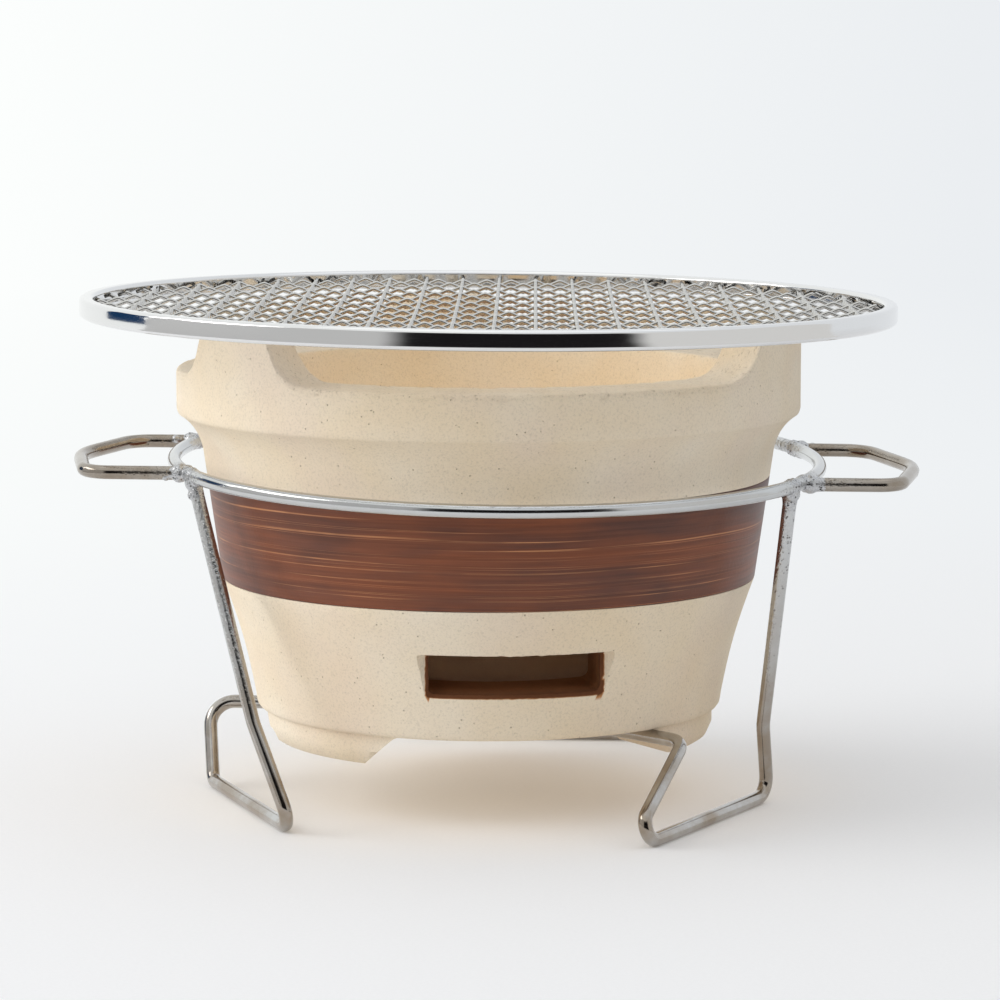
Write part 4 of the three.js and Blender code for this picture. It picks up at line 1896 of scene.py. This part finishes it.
        def ring_run(angle: float, way: float, reach: float) -> tuple[list[Vector], float]:
            """A length of the ring from an angle, one way or the other, and its reach."""
            sweep = math.degrees((reach + 2) / self.ring_radius)
            return [self.on_ring(angle + way * sweep * i / 14) for i in range(15)], reach

        left, right = (self.paths[handle.name] for handle in self.handles)
        left_leg, right_leg, rear_leg = (self.paths[leg.name] for leg in self.legs)
        joints = (
            ("weld_front_left", [(left, 9), (left_leg, 13)]),
            ("weld_front_right", [(right_leg, 12), (right, 12)]),
            ("weld_back_left", [(left[::-1], 7)]),
            ("weld_back_right", [(right[::-1], 7)]),
            ("weld_rear", [(rear_leg, 9)]),
        )
        made = []
        for seed, (name, runs) in enumerate(joints):
            drops = []
            for line, _ in runs:
                start, ahead = line[0], (line[1] - line[0]).normalized()
                drops.append((start + ahead * 2.2, 2.75))
                spot = math.degrees(math.atan2(start.x, -start.y))
                runs = runs + [ring_run(spot, 1, 6), ring_run(spot, -1, 6)]
                for k in range(3):
                    wander = Vector([noise.noise(Vector((seed, k, part))) for part in (1.5, 4.5, 7.5)])
                    drops.append((start + ahead * (2.5 + 2.4 * k) + wander * 2.4, 1.5 - 0.2 * k))
            made.append(self.weld(name, runs, drops, material, seed + 1))
        return made

    def build_bar_weld(self, material: bpy.types.Material) -> bpy.types.Object:
        """Makes the weld that joins the three bars under the bowl.

        Args:
            material: What it is made of.

        Returns:
            The weld, in place.
        """
        runs = [(self.paths[leg.name][::-1], 7.0) for leg in self.legs]
        low = Vector((0, 0, self.shelf_height - 1.5))
        drops = [(low, 3.1)]
        drops += [(place_round(3.4, leg.shelf[1] + 60, low.z + 0.3), 2.2) for leg in self.legs]
        return self.weld("bar_weld_drop", runs, drops, material, 9)

    def close_seam(self, mesh: bpy.types.Mesh, material: bpy.types.Material) -> None:
        """Adds the core that shows at the bottom of the ring's butt seam.

        Args:
            mesh: The ring.
            material: What it is made of.
        """
        core = [self.on_ring(self.seam_angle + turn) for turn in (-0.8, -0.4, 0.0, 0.4, 0.8)]
        plug = wire_mesh("carrier_ring_seam", core, self.wire - self.seam_depth, material)
        joined = bmesh.new()
        joined.from_mesh(mesh)
        joined.from_mesh(plug)
        joined.to_mesh(mesh)
        joined.free()

    def mark_welds(self, mesh: bpy.types.Mesh) -> None:
        """Stores how near each point of a wire is to a weld.

        Args:
            mesh: The wire.
        """
        ends = [self.paths[h.name][i] for h in self.handles for i in (0, -1)]
        ends += [self.paths[leg.name][0] for leg in self.legs]
        joints = np.array([list(e) for e in ends])
        spots = np.empty(len(mesh.vertices) * 3, dtype=np.float32)
        mesh.vertices.foreach_get("co", spots)
        gaps = np.linalg.norm(spots.reshape(-1, 1, 3) / MM - joints[None], axis=2).min(axis=1)
        layer = mesh.attributes.new("near_weld", "FLOAT", "POINT")
        layer.data.foreach_set("value", 1 - smooth_step(gaps, 4.0, 14.0))

    def build(self) -> None:
        """Makes the wires and the welds and puts them on the carrier's body."""
        tones = linear(206, 208, 209), linear(160, 148, 134)
        bright_wire = DrawnWireFinish("carrier_wire", *tones, 0.13, 0.12).build()
        tones = linear(176, 171, 164), linear(148, 136, 122)
        brown_wire = DrawnWireFinish("carrier_handle_wire", *tones, 0.15, 0.15, 0.9).build()
        bright = WeldFinish().build()
        for handle in self.handles:
            self.paths[handle.name] = self.handle_path(handle)
        for leg in self.legs:
            self.paths[leg.name] = self.leg_path(leg)
        self.paths["carrier_ring"] = self.ring_path()
        for name, path in self.paths.items():
            steel = brown_wire if name.startswith("handle") else bright_wire
            mesh = wire_mesh(f"{name}_wire", path, self.wire, steel)
            if name == "carrier_ring":
                self.close_seam(mesh, steel)
            made = finish_mesh(f"{name}_wire", mesh, steel, 50)
            self.mark_welds(made.data)
            seat(made, Body.CARRIER, Slot.CARRIER_WIRE, name)
            log.info("%s: %d corners", made.name, len(made.data.vertices))
        for weld in self.build_welds(bright):
            seat(weld, Body.CARRIER, Slot.CARRIER_WIRE)
        seat(self.build_bar_weld(bright), Body.CARRIER, Slot.CARRIER_WIRE, "bar_weld")


def seat(piece: bpy.types.Object, body: Body, slot: Slot, *nodes: str) -> None:
    """Puts a finished piece on its body in place of CAD nodes.

    Args:
        piece: The piece.
        body: What it moves with.
        slot: Not used.
        nodes: The CAD nodes that it stands for.
    """
    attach(piece, body.value)
    if nodes:
        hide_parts(*nodes)


# ---- the studio ----


@dataclass(frozen=True)
class Lamp:
    """One soft lamp: place, width and height, watts and tint. A round one has its radius as both."""

    name: str
    place: tuple[float, float, float]
    size: tuple[float, float]
    power: float
    colour: Colour


@dataclass
class Studio:
    """Floor, lights, backdrop and camera.

    Places and lengths are in metres, the lens and its sensor in millimetres, and angles in degrees,
    apart from room_turn, which is in radians.
    """

    camera_place: tuple[float, float, float] = (-0.0025, -1.1776, 0.2334)
    camera_pitch: float = -7.10
    focal: float = 144.18
    sensor: float = 36.0
    shift: float = 0.01143
    clip: tuple[float, float] = (0.05, 30.0)
    floor_radius: float = 2.2
    # Painted light: the backdrop is lighter on the left, towards the key lamp, and darker on the right.
    backdrop_lit_left: Colour = linear(252, 254, 253)
    backdrop_shaded_right: Colour = linear(235, 238, 241)
    backdrop_reach: float = 0.12
    floor_reach: float = 0.4
    floor_colour: Colour = linear(227, 228, 229)
    floor_roughness: float = 0.85
    floor_shine: float = 0.2
    # Painted light: the table glows faintly all over, and warmer under the bowl to lighten its shadow
    # there.
    painted_floor_light: float = 0.12
    painted_bounce_under_bowl: Colour = (0.178, 0.146, 0.112)
    painted_bounce_edge: tuple[float, float] = (0.12, 0.05)
    fade_round: tuple[float, float] = (0.7, 1.8)
    fade_behind: tuple[float, float] = (-0.02, 0.75)
    fade_slant: float = -0.35
    fill_colour: Colour = (0.98, 0.985, 1.0)
    fill: tuple[float, float] = (0.45, 0.83)
    fill_full_at: float = 0.7
    lamps: tuple[Lamp, ...] = (
        Lamp("key", (-1.55, -0.1, 0.66), (1.3, 1.15), 16.0, (1.0, 0.985, 0.96)),
        Lamp("top", (0.1, 0.15, 1.7), (1.4, 1.4), 1.5, (1.0, 1.0, 1.0)),
    )
    lamp_aim: tuple[float, float, float] = (0.0, 0.0, 0.07)
    chamber_lamp: Lamp = Lamp(
        "inner_fill", (-0.0025, 0.0, 0.108), (0.03, 0.03), 0.045, (1.0, 0.86, 0.54)
    )
    room_dark: Colour = (0.01, 0.009, 0.01)
    room_left: Colour = (0.58, 0.58, 0.575)
    room_right: Colour = (0.74, 0.735, 0.72)
    room_turn: tuple[float, float] = (-0.4, 0.6)
    dark_left: tuple[float, float] = (-29.0, -20.0)
    dark_right: tuple[float, float] = (43.5, 35.5)
    dark_top: tuple[float, float] = (1.15, 0.85)
    dark_near: tuple[float, float] = (0.42, 0.62)
    room_half: float = 105.0
    room_wall: float = 1.5
    room_above_floor: float = 0.004
    cloth_colour: Colour = linear(22, 56, 92)
    cloth_angles: tuple[float, float] = (-105.0, -127.0)
    cloth_heights: tuple[float, float] = (0.04, 0.62)
    cloth_distance: float = 1.4

    def build_camera(self) -> None:
        """Makes the camera of the photograph's view."""
        data = bpy.data.cameras.new("view")
        data.lens = self.focal
        data.sensor_width = self.sensor
        data.shift_x = self.shift
        data.clip_start, data.clip_end = self.clip
        camera = bpy.data.objects.new("view", data)
        camera.location = self.camera_place
        camera.rotation_euler = (math.radians(90 + self.camera_pitch), 0, 0)
        bpy.context.scene.collection.objects.link(camera)
        bpy.context.scene.camera = camera

    def sides(self, nodes: NodeMaker, across: bpy.types.NodeSocket, reach: float) -> bpy.types.NodeSocket:
        """The backdrop's colour, painted lighter on the left, towards the key lamp, than on the right.

        Args:
            nodes: What adds the nodes.
            across: Place or direction along X.
            reach: Where the colours end, on both sides.

        Returns:
            The colour.
        """
        share = nodes.rise(across, (-reach, reach), how="LINEAR")
        return nodes.blend(share, self.backdrop_lit_left, self.backdrop_shaded_right)

    def seen(self, nodes: NodeMaker) -> bpy.types.NodeSocket:
        """1 for rays from the camera and those that metal or glass sends on.

        Args:
            nodes: What adds the nodes.

        Returns:
            1 or 0.
        """
        path = nodes.node("ShaderNodeLightPath").outputs
        straight = nodes.maths("MAXIMUM", path["Is Camera Ray"], path["Is Glossy Ray"])
        return nodes.maths("MAXIMUM", straight, path["Is Transmission Ray"])

    def build_world(self) -> None:
        """Makes the soft light from all round and the backdrop behind the floor."""
        world = bpy.data.worlds.new("studio")
        world.use_nodes = True
        world.node_tree.nodes.clear()
        nodes = NodeMaker(world.node_tree)
        parts = nodes.parts(nodes.node("ShaderNodeTexCoord").outputs["Generated"])
        colour = self.sides(nodes, parts[0], self.backdrop_reach)
        backdrop = nodes.node("ShaderNodeBackground", {"Color": colour}).outputs[0]
        power = nodes.rise(parts[2], (0.0, self.fill_full_at), self.fill)
        light = {"Color": self.fill_colour, "Strength": power}
        fill = nodes.node("ShaderNodeBackground", light).outputs[0]
        mix = nodes.node("ShaderNodeMixShader", {0: self.seen(nodes), 1: fill, 2: backdrop})
        nodes.node("ShaderNodeOutputWorld", {0: mix.outputs[0]})
        bpy.context.scene.world = world

    def build_floor(self) -> None:
        """Makes the pale table, which glows faintly as painted light, more warmly under the bowl, and
        fades into the backdrop away from the object.
        """
        shader = Shader("table")
        tint = shader.ramp(shader.clouds(900), (0.4, 0.985), (0.6, 1.0))
        shader.put("Base Color", shader.blend(1.0, self.floor_colour, tint, "MULTIPLY"))
        shader.put("Roughness", self.floor_roughness)
        shader.put("Specular IOR Level", self.floor_shine)
        # Painted light: a faint glow all over the table, warmer under the bowl, in place of bounced
        # light.
        far = shader.length(shader.coordinates)
        under = shader.rise(far, self.painted_bounce_edge)
        shader.put("Emission Color", shader.blend(under, (self.painted_floor_light,) * 3, self.painted_bounce_under_bowl))
        shader.put("Emission Strength", 1.0)
        parts = shader.parts(shader.coordinates)
        colour = self.sides(shader, parts[0], self.floor_reach)
        glow = shader.node("ShaderNodeEmission", {"Color": colour}).outputs[0]
        around = shader.rise(far, self.fade_round)
        turned = shader.maths("MULTIPLY_ADD", parts[0], self.fade_slant, parts[1])
        fade = shader.maths("MAXIMUM", shader.rise(turned, self.fade_behind), around)
        share = shader.product(fade, self.seen(shader))
        surface = shader.surface.outputs[0]
        shader.cover(shader.node("ShaderNodeMixShader", {0: share, 1: surface, 2: glow}).outputs[0])
        steps = 96
        rim = [place_round(self.floor_radius / MM, 360 * i / steps, 0.0) for i in range(steps)]
        faces = [[0, 1 + i, 1 + (i + 1) % steps] for i in range(steps)]
        make_object("table_top", [Vector((0, 0, 0))] + rim, faces, shader.material)

    def hang(self, lamp: Lamp, data: bpy.types.Light) -> bpy.types.Object:
        """Gives a lamp its power, tint and place.

        Args:
            lamp: The lamp.
            data: Its light, of any kind.

        Returns:
            The hanging lamp.
        """
        data.energy = lamp.power
        data.color = lamp.colour
        made = bpy.data.objects.new(lamp.name, data)
        made.location = lamp.place
        bpy.context.scene.collection.objects.link(made)
        return made

    def build_lamps(self) -> None:
        """Makes the key lamp and the top lamp, and a weak warm one in the chamber.

        The third stands in for the light that bounces about between the chamber's walls.
        """
        for lamp in self.lamps:
            data = bpy.data.lights.new(lamp.name, "AREA")
            data.shape = "RECTANGLE"
            data.size, data.size_y = lamp.size
            aim = Vector(self.lamp_aim) - Vector(lamp.place)
            self.hang(lamp, data).rotation_euler = aim.to_track_quat("-Z", "Y").to_euler()
        data = bpy.data.lights.new(self.chamber_lamp.name, "POINT")
        data.shadow_soft_size = self.chamber_lamp.size[0]
        inner = self.hang(self.chamber_lamp, data)
        inner.visible_camera = False
        inner.visible_glossy = False

    def build_card(
        self,
        name: str,
        points: Sequence[Vector],
        faces: Sequence[Sequence[int]],
        shader: Shader,
        colour: object,
    ) -> None:
        """Makes a glowing card that only reflections show.

        Args:
            name: Name of the card.
            points: Its corners, in millimetres.
            faces: Corner numbers of each face.
            shader: Its material, still plain.
            colour: Colour of its glow.
        """
        shader.cover(shader.node("ShaderNodeEmission", {"Color": colour}).outputs[0])
        card = make_object(name, points, faces, shader.material)
        card.visible_camera = False
        card.visible_diffuse = False
        card.visible_shadow = False
        card.visible_transmission = False

    def build_surround(self) -> None:
        """Makes the room in front of the table, with its dark middle, for the reflections."""
        shader = Shader("front_of_studio")
        parts = shader.parts(shader.coordinates)
        turn = shader.maths("ARCTAN2", parts[0], shader.product(parts[1], -1.0))
        left, right = (
            shader.rise(turn, tuple(math.radians(angle) for angle in limits))
            for limits in (self.dark_left, self.dark_right)
        )
        top = shader.rise(parts[2], self.dark_top)
        near = shader.rise(shader.length(shader.vector(parts[0], parts[1])), self.dark_near)
        dark = shader.product(left, right, top, near)
        sides = shader.blend(shader.rise(turn, self.room_turn), self.room_left, self.room_right)
        low, wall = self.room_above_floor, self.room_wall
        profile = [(self.dark_near[0], low), (0.9, low), (1.45, low)]
        profile += [(wall, 0.06 + 0.16 * i) for i in range(8)]
        points, faces = [], []
        steps, count = 44, len(profile)
        for step in range(steps + 1):
            angle = -self.room_half + 2 * self.room_half * step / steps
            points += [place_round(r, angle, h) / MM for r, h in profile]
        for first in (step * count + i for step in range(steps) for i in range(count - 1)):
            faces.append([first, first + 1, first + count + 1, first + count])
        colour = shader.blend(dark, sides, self.room_dark)
        self.build_card("front_of_studio", points, faces, shader, colour)

    def build_cloth(self) -> None:
        """Makes the small dark blue thing that the left end of the rim reflects."""
        (first, second), (low, high) = self.cloth_angles, self.cloth_heights
        corners = ((first, low), (second, low), (second, high), (first, high))
        points = [place_round(self.cloth_distance, a, h) / MM for a, h in corners]
        self.build_card("blue_cloth", points, [[0, 1, 2, 3]], Shader("blue_cloth"), self.cloth_colour)

    def build(self) -> None:
        """Makes the whole studio."""
        self.build_camera()
        self.build_world()
        self.build_floor()
        self.build_lamps()
        self.build_surround()
        self.build_cloth()
        bpy.context.scene.view_settings.view_transform = "Standard"


def main() -> None:
    """Builds the studio and the stove."""
    logging.basicConfig(level=logging.INFO, format="%(name)s %(message)s")
    Studio().build()
    Bowl().build()
    GrillNet().build()
    Carrier().build()


if __name__ == "__main__":
    main()
